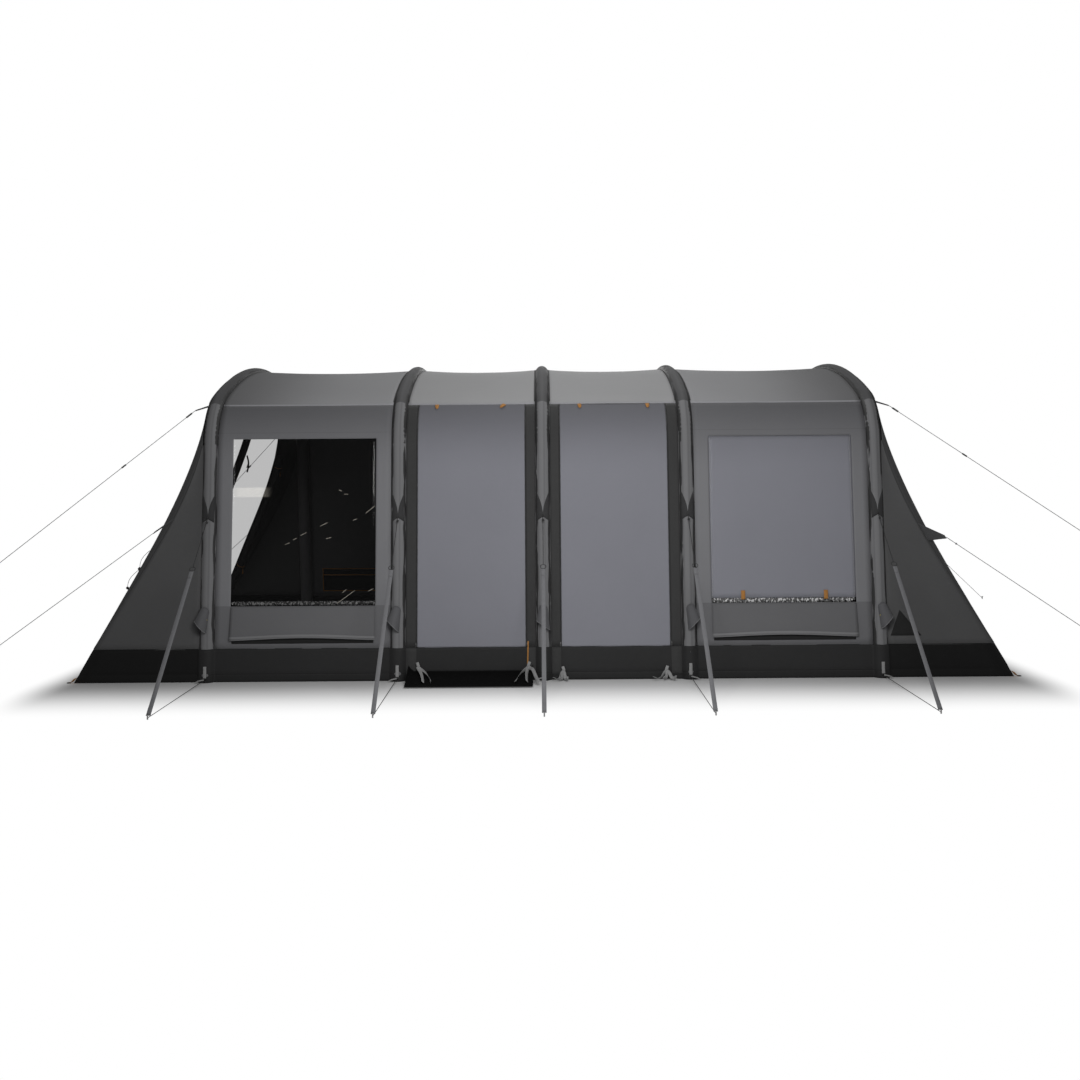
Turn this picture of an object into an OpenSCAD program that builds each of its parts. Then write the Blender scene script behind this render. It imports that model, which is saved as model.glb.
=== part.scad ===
// Tunnel tent on five inflatable arches, with a curved roof, two front doors,
// two windows and sloping ends. Millimetres, Z up, X along the tent, front at -Y.

/* [Tent] */
// Length along the ground
tent_length = 5910; // [5400:2:6200]
// Width across the arch feet
tent_width = 3200; // [3000:10:3400]
// Height of the arches
tent_height = 2100; // [2000:5:2200]
// Middle arch to inner arch
inner_pitch = 920; // [880:5:960]
// Middle arch to outer arch
outer_pitch = 2126; // [2080:2:2200]

/* [Arches] */
// Lean of a leg from upright
leg_lean = 5.5; // [4:0.1:7]
// Height at which a leg starts to curve
leg_height = 1500; // [1440:5:1540]
// Slope at which the shoulder runs into the roof
roof_slope = 24; // [20:0.5:28]
// Slope at the seam between wall and roof
seam_slope = 42.3; // [36:0.1:50]
// Radius of an inflated beam
beam_r = 50; // [45:1:52]
// Wall of a beam
beam_wall = 1.6; // [1.2:0.1:3]
// Thickness of the sleeve round a beam
sleeve_t = 1.7; // [1:0.1:3]
// Depth of the cloth panels below the crown of the sleeves
panel_depth = 30; // [22:1:36]
// Step in radius where one length laps inside the next
lap = 0.1; // [0.05:0.01:0.2]
// Length of a lap
lap_len = 2; // [1:0.5:4]

/* [Cloth] */
// Thickness of the cloth panels
cloth_t = 3; // [2:0.5:4]
// Clearance between neighbouring pieces
gap = 0.3; // [0.2:0.05:0.4]
// Sag of the roof between two arches
roof_sag = 46; // [20:1:70]
// Hollow of the sloping ends
end_hollow = 70; // [10:1:90]
// Height of the dark mud wall round the foot
mud_h = 207; // [180:1:220]
// Thickness of the groundsheet
sheet_t = 3; // [2:0.5:5]

/* [Windows] */
// Window edge nearest the middle
window_x0 = 1065; // [1040:5:1150]
// Window edge nearest the end
window_x1 = 1980; // [1850:5:1995]
// Window sill height
sill_z = 470; // [450:5:520]
// Window head height
head_z = 1530; // [1400:5:1560]
// Overlap of the pane behind the wall
pane_lap = 15; // [8:1:20]
// Thickness of the clear pane
pane_t = 1; // [0.6:0.1:2]
// Thickness of the blind
blind_t = 2; // [1:0.5:4]
// Radius of the gathered blind
bundle_r = 16; // [10:1:20]
// Length of the flap under a window
flap_len = 205; // [160:5:215]
// Angle at which a flap stands off
flap_angle = 5.5; // [3:0.5:8]
// Thickness of a flap
flap_t = 2; // [1:0.5:3]

/* [Doors] */
// Door edge nearest the middle arch
door_x0 = 112; // [95:1:130]
// Door edge nearest the inner arch
door_x1 = 800; // [770:1:812]
// Clearance along the door's edges
door_gap = 0.8; // [0.5:0.1:0.9]
// Length of a zip slider
slider_len = 26; // [20:1:32]
// Width of a zip slider
slider_w = 11; // [8:1:14]
// Thickness of a zip slider
slider_t = 6; // [4:0.5:8]
// Reach of the apron in front of the door
apron_reach = 260; // [200:5:320]
// Height of the apron at the mud wall
apron_h = 58; // [40:1:80]

/* [Left end] */
// Edge of the middle strip nearest the front
end_strip_y0 = 50; // [-110:5:80]
// Edge of the middle strip nearest the back
end_strip_y1 = 270; // [110:5:300]
// Height of the openings' threshold
end_sill_z = 250; // [230:5:300]
// Height of the openings at the middle strip
end_head_z = 1740; // [1720:5:1800]
// Radius of a rolled door leaf
roll_r = 30; // [20:1:36]

/* [Fittings] */
// Distance of the storm pegs from the arch feet
peg_reach = 1040; // [900:10:1100]
// Radius of a peg
peg_r = 4; // [3:0.5:5]
// Height of a peg above the ground
peg_h = 26; // [20:1:40]
// Radius of a peg's head
peg_head_r = 9; // [7:0.5:12]
// Thickness of a peg's head
peg_head_t = 3; // [2:0.5:5]
// Height of the storm line's patch on a leg
patch_z = 1087; // [1000:1:1150]
// Half width of a patch
patch_half = 40; // [30:1:43]
// Length of a patch
patch_len = 175; // [140:5:190]
// Thickness of a patch
patch_t = 1.5; // [1:0.1:2]
// Cord radius
cord_r = 2; // [1.5:0.1:2.4]
// Share of the storm line that is cord
cord_share = 0.29; // [0.2:0.01:0.4]
// Width of the storm webbing
web_w = 25; // [20:1:28]
// Thickness of the webbing
web_t = 1.5; // [1:0.1:2]
// Wire radius of a ring
wire_r = 2; // [1.5:0.1:2.5]
// Radius of a ring at its wire
ring_r = 17; // [16:0.5:20]
// Length of a foot tab
tab_len = 72; // [50:1:90]
// Width of a foot tab
tab_w = 20; // [15:1:24]
// Height of a foot buckle
buckle_h = 22; // [18:1:26]
// Thickness of a foot buckle
buckle_t = 6; // [4:0.5:8]
// Radius of a corner ring's hole
eyelet_r = 9; // [7:0.5:11]
// Thickness of a corner ring
eyelet_t = 5; // [4:0.5:7]
// Radial width of a corner ring
eyelet_w = 5; // [4:0.5:8]

/* [Valves] */
// Height of a valve on the leg
valve_z = 392; // [350:2:410]
// Radius of a valve
valve_r = 14; // [11:0.5:18]
// Height of a valve with its cap
valve_h = 16; // [12:1:22]
// Height of a hood's top
hood_z = 470; // [460:2:500]
// Length of a hood
hood_len = 125; // [110:1:140]
// Radius of a hood at its top
hood_top_r = 24; // [20:1:30]
// Radius of a hood at its mouth
hood_mouth_r = 47; // [42:1:52]
// Thickness of a hood
hood_t = 1.5; // [1:0.1:2]
// Sideways flare of a hood in degrees
hood_flare = 9; // [0:1:14]

/* [Hidden] */
$fn = 96;

side_grey = "#5a5c62";
door_grey = "#6d7077";
roof_grey = "#8b8d92";
charcoal = "#4b4c50";
gore_grey = "#3f3f43";
mud_black = "#242426";
strap_grey = "#8d8f94";
orange = "#c98a2c";

arch_x = [-outer_pitch, -inner_pitch, 0, inner_pitch, outer_pitch];
base_half = tent_length / 2;
foot_y = tent_width / 2;
sleeve_in = beam_r + gap;
sleeve_r = sleeve_in + sleeve_t;
far = 3 * tent_length;

// The arch's outer line: a straight leg, a shoulder arc and a roof arc, each tangent to the next.
leg_slope = 90 - leg_lean;
knee_y = foot_y - leg_height * tan(leg_lean);
knee_rise = tent_height - leg_height;
roof_cot = sin(roof_slope) / (1 - cos(roof_slope));
shoulder_r = (knee_y - roof_cot * knee_rise)
    / (sin(leg_slope) - sin(roof_slope) - roof_cot * (cos(roof_slope) - cos(leg_slope)));
roof_r = (knee_rise - shoulder_r * (cos(roof_slope) - cos(leg_slope))) / (1 - cos(roof_slope));
shoulder_y = -knee_y + shoulder_r * sin(leg_slope);
shoulder_z = leg_height - shoulder_r * cos(leg_slope);
roof_z = tent_height - roof_r;

// Half the width of a strip, where the panels end beside a sleeve, and the bays between the arches.
strip_half = sqrt(sleeve_r * sleeve_r - pow(sleeve_r - panel_depth - cloth_t, 2)) + gap;
panel_in = panel_depth + cloth_t;
wall_z = mud_h + gap;
seam_step = 0.1;

// A point on the arch's line, at a slope from the crown and a depth below the outer line.
function arch_point(slope, depth) = abs(slope) > roof_slope
    ? [sign(slope) * (shoulder_y - (shoulder_r - depth) * sin(abs(slope))),
       shoulder_z + (shoulder_r - depth) * cos(slope)]
    : [-(roof_r - depth) * sin(slope), roof_z + (roof_r - depth) * cos(slope)];
// The leg's line at a height, as a distance from the middle plane.
function leg_y(z, depth) = -foot_y + z * tan(leg_lean) + depth / cos(leg_lean);

// Carries a drawing of the arch, Y across and Z up, into the arch's plane at x.
module in_arch_plane(x) { translate([x, 0, 0]) rotate([90, 0, 90]) children(); }
// Carries a piece drawn on a leg: X along the tent, Y the depth below the crown, Z up the leg.
module on_leg(x = 0) { translate([x, -foot_y, 0]) rotate([-leg_lean, 0, 0]) children(); }
module front_and_back() { children(); mirror([0, 1, 0]) children(); }
module both_ends() { children(); mirror([1, 0, 0]) children(); }

module ring_sector(center, r_out, r_in, slope0, slope1) {
    translate(center) intersection() {
        difference() {
            circle(r_out);
            circle(r_in);
        }
        polygon([[0, 0], far * [-sin(slope0), cos(slope0)], far * [-sin(slope1), cos(slope1)]]);
    }
}

// A cloth wall: the leg from height z0, then the shoulder up to a slope.
module wall_sheet(x0, x1, depth = panel_depth, thick = cloth_t, z0 = wall_z, slope1 = seam_slope) {
    deep = depth + thick;
    in_arch_plane(x0) {
        linear_extrude(x1 - x0) polygon([[leg_y(z0, depth), z0], arch_point(leg_slope, depth),
            arch_point(leg_slope, deep), [leg_y(z0, deep), z0]]);
        linear_extrude(x1 - x0)
            ring_sector([shoulder_y, shoulder_z], shoulder_r - depth, shoulder_r - deep, slope1, leg_slope);
    }
}

module tube_section(r_out, r_in) {
    difference() {
        circle(r_out, $fn = 48);
        if (r_in > 0) circle(r_in, $fn = 48);
    }
}

// A round tube along the whole arch, its legs cut level at z0. The legs and the roof arc are lapped
// inside the ends of the shoulder arcs, as the welded lengths of a beam are.
module arch_tube(r_out, r_in, z0) {
    lap_out = r_out - lap;
    lap_in = r_in > 0 ? r_in + lap : 0;
    lap_slope = lap_len / roof_r * 180 / PI;
    front_and_back() {
        in_arch_plane(0) translate([shoulder_y, shoulder_z]) rotate([0, 0, 90 + roof_slope])
            rotate_extrude(angle = leg_slope - roof_slope, $fn = 192)
                translate([shoulder_r - sleeve_r, 0]) tube_section(r_out, r_in);
        difference() {
            in_arch_plane(0) translate(concat(arch_point(leg_slope, sleeve_r), 0)) rotate([90, 0, -leg_lean])
                translate([0, 0, -lap_len]) linear_extrude(1.1 * leg_height) tube_section(lap_out, lap_in);
            translate([-far / 2, -far / 2, z0 - far]) cube(far);
        }
    }
    in_arch_plane(0) translate([0, roof_z]) rotate([0, 0, 90 - roof_slope - lap_slope])
        rotate_extrude(angle = 2 * (roof_slope + lap_slope), $fn = 256)
            translate([roof_r - sleeve_r, 0]) tube_section(lap_out, lap_in);
}

// A closed sheet between two equal grids of points.
module cloth(outer, inner) {
    rows = len(outer);
    cols = len(outer[0]);
    count = rows * cols;
    function at(side, i, j) = side * count + i * cols + j;
    points = concat([for (row = outer) each row], [for (row = inner) each row]);
    skin = [for (i = [0:rows - 2], j = [0:cols - 2]) each [
        [at(0, i, j), at(0, i + 1, j + 1), at(0, i, j + 1)],
        [at(0, i, j), at(0, i + 1, j), at(0, i + 1, j + 1)],
        [at(1, i, j), at(1, i, j + 1), at(1, i + 1, j + 1)],
        [at(1, i, j), at(1, i + 1, j + 1), at(1, i + 1, j)]]];
    ends = [for (i = [0:rows - 2]) each [
        [at(0, i, 0), at(1, i, 0), at(1, i + 1, 0)],
        [at(0, i, 0), at(1, i + 1, 0), at(0, i + 1, 0)],
        [at(0, i, cols - 1), at(1, i + 1, cols - 1), at(1, i, cols - 1)],
        [at(0, i, cols - 1), at(0, i + 1, cols - 1), at(1, i + 1, cols - 1)]]];
    sides = [for (j = [0:cols - 2]) each [
        [at(0, 0, j), at(1, 0, j + 1), at(1, 0, j)],
        [at(0, 0, j), at(0, 0, j + 1), at(1, 0, j + 1)],
        [at(0, rows - 1, j), at(1, rows - 1, j), at(1, rows - 1, j + 1)],
        [at(0, rows - 1, j), at(1, rows - 1, j + 1), at(0, rows - 1, j + 1)]]];
    polyhedron(points, concat(skin, ends, sides), convexity = 6);
}

// A tube swept along a list of points. side_way is any direction that is never along the path.
function unit(v) = v / norm(v);
function heading(path, i) = unit(path[min(i + 1, len(path) - 1)] - path[max(i - 1, 0)]);
module tube(path, r, side_way, sides = 8) {
    rings = len(path);
    points = [for (i = [0:rings - 1])
        let (along = heading(path, i), a = unit(cross(side_way, along)), b = cross(along, a))
        for (k = [0:sides - 1]) path[i] + r * (cos(k * 360 / sides) * a + sin(k * 360 / sides) * b)];
    walls = [for (i = [0:rings - 2], k = [0:sides - 1])
        let (n = (k + 1) % sides, low = i * sides, high = low + sides) each [
        [low + k, high + n, low + n], [low + k, high + k, high + n]]];
    first = [for (k = [1:sides - 2]) [0, k, k + 1]];
    end = (rings - 1) * sides;
    last = [for (k = [1:sides - 2]) [end, end + k + 1, end + k]];
    polyhedron(points, concat(walls, first, last), convexity = 4);
}
// A three-cornered flap of cloth.
module flap(a, b, c, thick) {
    out = thick / 2 * unit(cross(b - a, c - a));
    points = [a + out, b + out, c + out, a - out, b - out, c - out];
    polyhedron(points, [[0, 2, 1], [3, 4, 5], [0, 1, 4], [0, 4, 3], [1, 2, 5], [1, 5, 4], [2, 0, 3], [2, 3, 5]]);
}

// Air beams and their sleeves.
beam_foot_z = sheet_t + gap;
module air_beam(x) {
    color("dimgray") translate([x, 0, 0]) difference() {
        arch_tube(beam_r, 0, beam_foot_z);
        arch_tube(beam_r - beam_wall, 0, beam_foot_z + beam_wall);
    }
}
module beam_sleeve(x) {
    color(charcoal) translate([x, 0, 0]) arch_tube(sleeve_r, sleeve_in, 0);
}

// Roof cloth: slopes from the front seam to the back seam, sagging between two arches.
function both_halves(half) = concat(half, [0], [for (i = [len(half) - 1:-1:0]) -half[i]]);
roof_slopes_half = concat([for (k = [0:4]) seam_slope - seam_step - k / 4 * (seam_slope - roof_slope - 2 * seam_step)],
    [for (k = [11:-1:1]) k / 12 * roof_slope]);
roof_slopes = both_halves(roof_slopes_half);
roof_steps = 8;
module roof_panel(x0, x1) {
    function sag(slope, t) = roof_sag * 4 * t * (1 - t) * cos(90 * slope / seam_slope);
    function point(slope, t, thick) = let (p = arch_point(slope, panel_depth + thick + sag(slope, t)))
        [x0 + t * (x1 - x0), p[0], p[1]];
    function grid(thick) = [for (slope = roof_slopes) [for (k = [0:roof_steps])
        point(slope, k / roof_steps, thick)]];
    color(roof_grey) cloth(grid(0), grid(cloth_t));
}

// Walls, windows and what hangs at them.
module window_wall() {
    color(side_grey) difference() {
        wall_sheet(inner_pitch + strip_half, outer_pitch - strip_half);
        translate([window_x0, -foot_y - 1, sill_z]) cube([window_x1 - window_x0, foot_y, head_z - sill_z]);
    }
}
module behind_window(depth, thick, lap) {
    intersection() {
        wall_sheet(window_x0 - lap, window_x1 + lap, depth, thick);
        translate([0, -foot_y, sill_z - lap]) cube([far, foot_y, head_z - sill_z + 2 * lap]);
    }
}
pane_depth = panel_in + gap;
blind_depth = pane_depth + pane_t + gap;
module window_panes() {
    color("gray", 0.4) both_ends() behind_window(pane_depth, pane_t, pane_lap);
}
module window_blinds() {
    color("#777a84") behind_window(blind_depth, blind_t, pane_lap);
    color("silver") on_leg(-window_x1) translate([0, blind_depth + bundle_r, sill_z + bundle_r / 2])
        rotate([0, 90, 0]) cylinder(r = bundle_r, h = window_x1 - window_x0);
}
module back_wall() {
    color(side_grey) mirror([0, 1, 0]) both_ends() {
        wall_sheet(strip_half, inner_pitch - strip_half);
        wall_sheet(inner_pitch + strip_half, outer_pitch - strip_half);
    }
}
flap_top = (sill_z - gap) / cos(leg_lean);
module vent_flap() {
    color(side_grey) on_leg(window_x0) translate([0, panel_depth - gap, flap_top])
        rotate([-flap_angle, 0, 0]) translate([0, -flap_t, -flap_len])
            cube([window_x1 - window_x0, flap_t, flap_len]);
}
module organiser_pocket() {
    pocket_z0 = 238;
    pocket_z1 = 445;
    pocket_t = 5;
    color("#1c1c1e") mirror([0, 1, 0]) intersection() {
        wall_sheet(-window_x1, -window_x0, panel_in + gap, pocket_t);
        translate([-far, -foot_y, pocket_z0]) cube([far, foot_y, pocket_z1 - pocket_z0]);
    }
}

// Front doors with the cloth bands that carry their zips.
module door() {
    color(door_grey) wall_sheet(door_x0, door_x1, z0 = wall_z + gap, slope1 = seam_slope + seam_step);
}
module door_zip_bands() {
    color("#313033") both_ends() {
        wall_sheet(strip_half, door_x0 - door_gap);
        wall_sheet(door_x1 + door_gap, inner_pitch - strip_half);
    }
}
slider_edge = 3;
module zip_slider(x) {
    low = (wall_z + slider_edge) / cos(leg_lean);
    color("#55565a") on_leg(x) translate([-slider_w / 2, panel_depth - gap - slider_t, low]) difference() {
        cube([slider_w, slider_t, slider_len]);
        translate([slider_w / 3, -1, slider_edge]) cube([slider_w / 3, slider_t / 2 + 1, slider_len / 2]);
    }
}
slider_x0 = door_x0 - door_gap - gap - slider_w / 2;
slider_x1 = door_x1 + door_gap + gap + slider_w / 2;
module door_apron() {
    back = leg_y(0, panel_depth) - gap;
    back_top = leg_y(apron_h, panel_depth) - gap;
    color(mud_black) in_arch_plane(-inner_pitch + sleeve_r + cloth_t + slider_edge)
        linear_extrude(inner_pitch - 2 * (sleeve_r + cloth_t + slider_edge))
            polygon([[back - apron_reach, 0], [back - apron_reach, sheet_t],
                [back_top, apron_h], [back_top - gap, apron_h - sheet_t], [back - apron_reach + sheet_t, 0]]);
}

// Sloping ends: rows climb from the base line to the outer arch.
end_slopes_half = concat([for (k = [0:9]) leg_slope - k / 10 * (leg_slope - roof_slope)],
    [for (k = [8:-1:1]) k / 8 * roof_slope]);
end_slopes = both_halves(end_slopes_half);
end_gap = 0.5;
end_depth = panel_in + gap + 0.2;
end_in = cloth_t * 1.07;
end_x = outer_pitch + strip_half + end_gap + end_in;
end_ratio = -leg_y(0, end_depth) / -arch_point(leg_slope, end_depth)[0];
end_rows = 8;
// A point of the right end's outer face, above a slope on the arch and at a height.
function end_point(slope, z) = let (top = arch_point(slope, end_depth), v = z / top[1])
    [base_half + v * (end_x - base_half) - 27 / 4 * end_hollow * v * v * (1 - v),
     top[0] * (end_ratio + v * (1 - end_ratio)), z];
function end_top(slope) = arch_point(slope, end_depth)[1];
module end_cloth(z0, z1_share) {
    rows = z1_share == 0 ? 1 : end_rows;
    function height(slope, k) = z1_share == 0
        ? k * (mud_h - gap)
        : z0 + k / rows * (end_top(slope) - z0);
    function grid(step) = [for (k = [0:rows]) [for (slope = end_slopes)
        end_point(slope, height(slope, k)) - [step, 0, 0]]];
    cloth(grid(0), grid(end_in));
}
module end_wall_right() { color(gore_grey) end_cloth(wall_z, 1); }
// Outline of an opening from its sill at the outer side up to its head beside the middle strip.
end_outline = [[1420, end_sill_z], [1352, 430], [1230, 790], [1150, 1130], [1060, 1440],
    [990, 1590], [850, 1700]];
module end_opening(side, strip_y) {
    polygon(concat([[strip_y, end_sill_z]], [for (p = end_outline) [side * p[0], p[1]]], [[strip_y, end_head_z]]));
}
module end_wall_left() {
    color(gore_grey) difference() {
        mirror([1, 0, 0]) end_cloth(wall_z, 1);
        in_arch_plane(-base_half - 1) linear_extrude(base_half - outer_pitch) {
            end_opening(-1, end_strip_y0);
            end_opening(1, end_strip_y1);
        }
    }
}
// Door leaves of the left end, each rolled up along the outer side of its opening.
roll_slopes = [[300, 47], [430, 40], [790, 23.8], [1130, 22.9], [1450, 21.3]];
roll_steps = 12;
roll_back = end_in + (roll_r + 0.6) / 0.878;
module end_door_rolls() {
    path = [for (k = [0:roll_steps]) let (z = 300 + k / roll_steps * 1150)
        end_point(lookup(z, roll_slopes), z) - [roll_back, 0, 0]];
    color("#2c2c2e") mirror([1, 0, 0]) front_and_back() tube(path, roll_r, [0, 1, 0], 12);
}

corner_steps = 8;
corner_tip_z = end_top(leg_slope);
module gores() {
    heights = [for (k = [0:corner_steps]) wall_z + k / corner_steps * (corner_tip_z - wall_z)];
    x0 = outer_pitch + strip_half;
    color(gore_grey) front_and_back() intersection() {
        on_leg() translate([x0 - 1, panel_depth, 0]) cube([base_half, cloth_t, 1.1 * leg_height]);
        rotate([90, 0, 0]) linear_extrude(foot_y)
            polygon(concat([[x0, corner_tip_z], [x0, wall_z]],
                [for (z = heights) [end_point(leg_slope, z)[0], z]]));
    }
}

// The mud wall follows the sleeves' feet.
module mud_outline() {
    difference() {
        union() {
            translate([-far / 2, panel_depth]) square([far, cloth_t]);
            for (x = arch_x) translate([x, sleeve_r]) circle(sleeve_r + gap + cloth_t);
        }
        for (x = arch_x) translate([x, sleeve_r]) circle(sleeve_r + gap);
        translate([-far / 2, panel_in]) square([far, far]);
    }
}
module mud_wall_side() {
    top_x = end_point(leg_slope, mud_h)[0];
    color(mud_black) intersection() {
        on_leg() translate([0, 0, -mud_h]) linear_extrude(3 * mud_h) mud_outline();
        rotate([90, 0, 0]) linear_extrude(tent_width)
            polygon([[-base_half, 0], [base_half, 0], [top_x, mud_h], [-top_x, mud_h]]);
    }
}
module mud_wall_ends() { color(mud_black) both_ends() end_cloth(0, 0); }
module groundsheet() {
    notch_r = sleeve_r + 0.8;
    half_x = base_half - end_in - 0.6 * sheet_t - gap;
    half_y = -leg_y(sheet_t, panel_in) - gap;
    color("#38393c") linear_extrude(sheet_t) difference() {
        square([2 * half_x, 2 * half_y], center = true);
        for (x = arch_x, side = [-1, 1]) translate([x, side * leg_y(0, sleeve_r)]) circle(notch_r);
    }
}

// Storm lines: a patch on the leg, a cord, a ring and webbing down to a peg, and a cord along the ground.
patch_s = patch_z / cos(leg_lean);
module anchor_patches() {
    color("#2a2a2c") front_and_back() for (x = arch_x) on_leg(x) intersection() {
        translate([0, sleeve_r, patch_s - patch_len]) difference() {
            cylinder(r = sleeve_r + gap + patch_t, h = 2 * patch_len);
            translate([0, 0, -1]) cylinder(r = sleeve_r + gap, h = 2 * patch_len + 2);
        }
        translate([0, sleeve_r, patch_s]) rotate([90, 0, 0]) linear_extrude(2 * sleeve_r)
            polygon([[-patch_half, patch_len / 2], [0, -patch_len / 4], [patch_half, patch_len / 2],
                [patch_half, -patch_len / 2], [-patch_half, -patch_len / 2]]);
    }
}
line_out = 2 * gap + patch_t + cord_r;
line_s = patch_s - patch_len / 3;
line_top = [-foot_y + line_s * sin(leg_lean) - line_out * cos(leg_lean),
    line_s * cos(leg_lean) + line_out * sin(leg_lean)];
peg_y = -foot_y - peg_reach;
line_foot = [peg_y + peg_r + 1, peg_h / 2];
line_len = norm(line_top - line_foot);
line_angle = atan2(line_top[0] - line_foot[0], line_top[1] - line_foot[1]);
ring_at = cord_share * line_len;
ring_out = ring_r + wire_r + gap;
// Z runs down the storm line from the patch to the peg.
module on_storm_lines() {
    front_and_back() for (x = arch_x)
        translate([x, line_top[0], line_top[1]]) rotate([180 - line_angle, 0, 0]) children();
}
mud_front = gap + cloth_t + gap;
buckle_s = 8;
buckle_mid = buckle_s + buckle_h / 2;
tie_z = peg_h / 3;
ground_y = -foot_y - (mud_front + buckle_t) * cos(leg_lean) + buckle_mid * sin(leg_lean) - 2 * gap;
module storm_cords() {
    run = [peg_y + peg_r + gap - ground_y, tie_z - buckle_mid];
    color("#303034") {
        on_storm_lines() cylinder(r = cord_r, h = ring_at - ring_out, $fn = 24);
        front_and_back() for (x = arch_x) translate([x, ground_y, buckle_mid])
            rotate([atan2(-run[0], run[1]), 0, 0]) cylinder(r = cord_r, h = norm(run), $fn = 24);
    }
}
module storm_rings() {
    color("#2a2a2c") on_storm_lines() translate([0, 0, ring_at]) rotate([90, 0, 0])
        rotate_extrude($fn = 48) translate([ring_r, 0]) circle(wire_r, $fn = 16);
}
module storm_webbing() {
    color(strap_grey) on_storm_lines() translate([-web_w / 2, -web_t / 2, ring_at + ring_out])
        cube([web_w, web_t, line_len - ring_at - ring_out]);
}
module peg() {
    cylinder(r = peg_r, h = peg_h, $fn = 32);
    translate([0, 0, peg_h - peg_head_t]) cylinder(r = peg_head_r, h = peg_head_t, $fn = 32);
}
module storm_pegs() {
    color("silver") front_and_back() for (x = arch_x) translate([x, peg_y, 0]) peg();
}
module foot_tabs() {
    color("silver") front_and_back() for (x = arch_x) on_leg(x)
        translate([-tab_w / 2, -mud_front - web_t, buckle_s + buckle_h + gap]) cube([tab_w, web_t, tab_len]);
}
module foot_buckles() {
    rail = 4;
    slot_w = tab_w + 1;
    slot_h = (buckle_h - 3 * rail) / 2;
    color("#1e1e20") front_and_back() for (x = arch_x) on_leg(x)
        translate([0, -mud_front - buckle_t, buckle_s]) difference() {
            translate([-slot_w / 2 - rail, 0, 0]) cube([slot_w + 2 * rail, buckle_t, buckle_h]);
            for (k = [0, 1]) translate([-slot_w / 2, -1, rail + k * (slot_h + rail)])
                cube([slot_w, buckle_t + 2, slot_h]);
        }
}
module corner_rings() {
    hold = 34;
    center = [base_half + hold, foot_y - hold, 0];
    color(orange) both_ends() front_and_back() difference() {
        union() {
            translate(center) cylinder(r = eyelet_r + eyelet_w, h = eyelet_t);
            translate([base_half, center[1] - web_w / 2, eyelet_t / 3]) cube([hold - eyelet_r - 1, web_w, web_t]);
        }
        translate(center - [0, 0, 1]) cylinder(r = eyelet_r, h = eyelet_t + 2);
    }
}

// Valves in the front legs, each under a hood.
module valves() {
    collar_h = 0.4 * valve_h;
    color("#c9b23a") for (x = arch_x) on_leg(x) translate([0, -gap, valve_z / cos(leg_lean)]) rotate([90, 0, 0]) {
        cylinder(r = valve_r, h = collar_h);
        cylinder(r = 0.85 * valve_r, h = valve_h);
    }
}
module valve_hood(x, lean) {
    color(side_grey) on_leg(x) translate([0, -gap, hood_z / cos(leg_lean)]) rotate([0, lean, 180])
        translate([0, 0, -hood_len]) rotate_extrude(angle = 180)
            polygon([[hood_mouth_r - hood_t, 0], [hood_mouth_r, 0], [hood_top_r, hood_len],
                [0, hood_len], [0, hood_len - hood_t], [hood_top_r - hood_t, hood_len - hood_t]]);
}

// Guy lines: from a flap on the tent to a peg beyond the end, one high and one low at each corner.
guy_tip = [[-2250, -1340, 1720], [2250, -1340, 1720], [-2450, -1570, 940], [2530, -1580, 880]];
guy_peg = [[-4100, -2380, 0], [4350, -2600, 0], [-3600, -2130, 0], [3600, -2460, 0]];
guy_rings = 12;
guy_flap_slope = 44;
guy_flap_half = 38;
guy_seat_angle = 40;
guy_drop = 35;
guy_seam_gap = 2.8;
slider_at = 570;
slider_bore = cord_r + 0.3;
slider_size = [12, 9, 34];
guy_pull = [for (i = [0:3]) unit(guy_peg[i] + [0, 0, tie_z] - guy_tip[i])];
function guy_start(i) = guy_tip[i] + 0.4 * guy_pull[i];
function guy_end(i) = let (d = guy_pull[i])
    guy_peg[i] + [0, 0, tie_z] - (peg_r + gap - cord_r * d[2]) / norm([d[0], d[1]]) * d;
module guy_lines() {
    color("#8f9298") front_and_back() for (i = [0:3])
        tube([for (k = [0:guy_rings]) guy_start(i) + k / guy_rings * (guy_end(i) - guy_start(i))], cord_r, [0, 1, 0]);
}
module guy_pegs() { color("silver") front_and_back() for (i = [0:3]) translate(guy_peg[i]) peg(); }
module guy_slider(i) {
    d = guy_pull[i];
    color("#1e1e20") translate(guy_tip[i] + slider_at * d) rotate([0, acos(d[2]), atan2(d[1], d[0])]) difference() {
        cube(slider_size, center = true);
        cylinder(r = slider_bore, h = 2 * slider_size[2], center = true);
    }
}
module top_gusset(i) {
    side = sign(guy_tip[i][0]);
    hold = arch_point(guy_flap_slope, sleeve_r);
    down = [0, -cos(guy_flap_slope), -sin(guy_flap_slope)];
    out = [side * cos(guy_seat_angle), 0, 0] + sin(guy_seat_angle) * [0, down[2], -down[1]];
    seat = [side * outer_pitch, hold[0], hold[1]] + (sleeve_r + 3 * gap) * out;
    flap(seat + guy_flap_half * down, seat - guy_flap_half * down, guy_tip[i], 2);
}
module low_gusset(i) {
    side = sign(guy_tip[i][0]);
    function seam_point(z) =
        [side * (end_point(leg_slope, z)[0] + guy_seam_gap), leg_y(z, panel_depth + cloth_t / 2), z];
    low = guy_tip[i][2] + guy_drop;
    flap(seam_point(low), seam_point(low + 2.6 * guy_flap_half), guy_tip[i], 2);
}
module guy_gussets() {
    color("#4a4b50") front_and_back() {
        for (i = [0, 1]) top_gusset(i);
        for (i = [2, 3]) low_gusset(i);
    }
}

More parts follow.
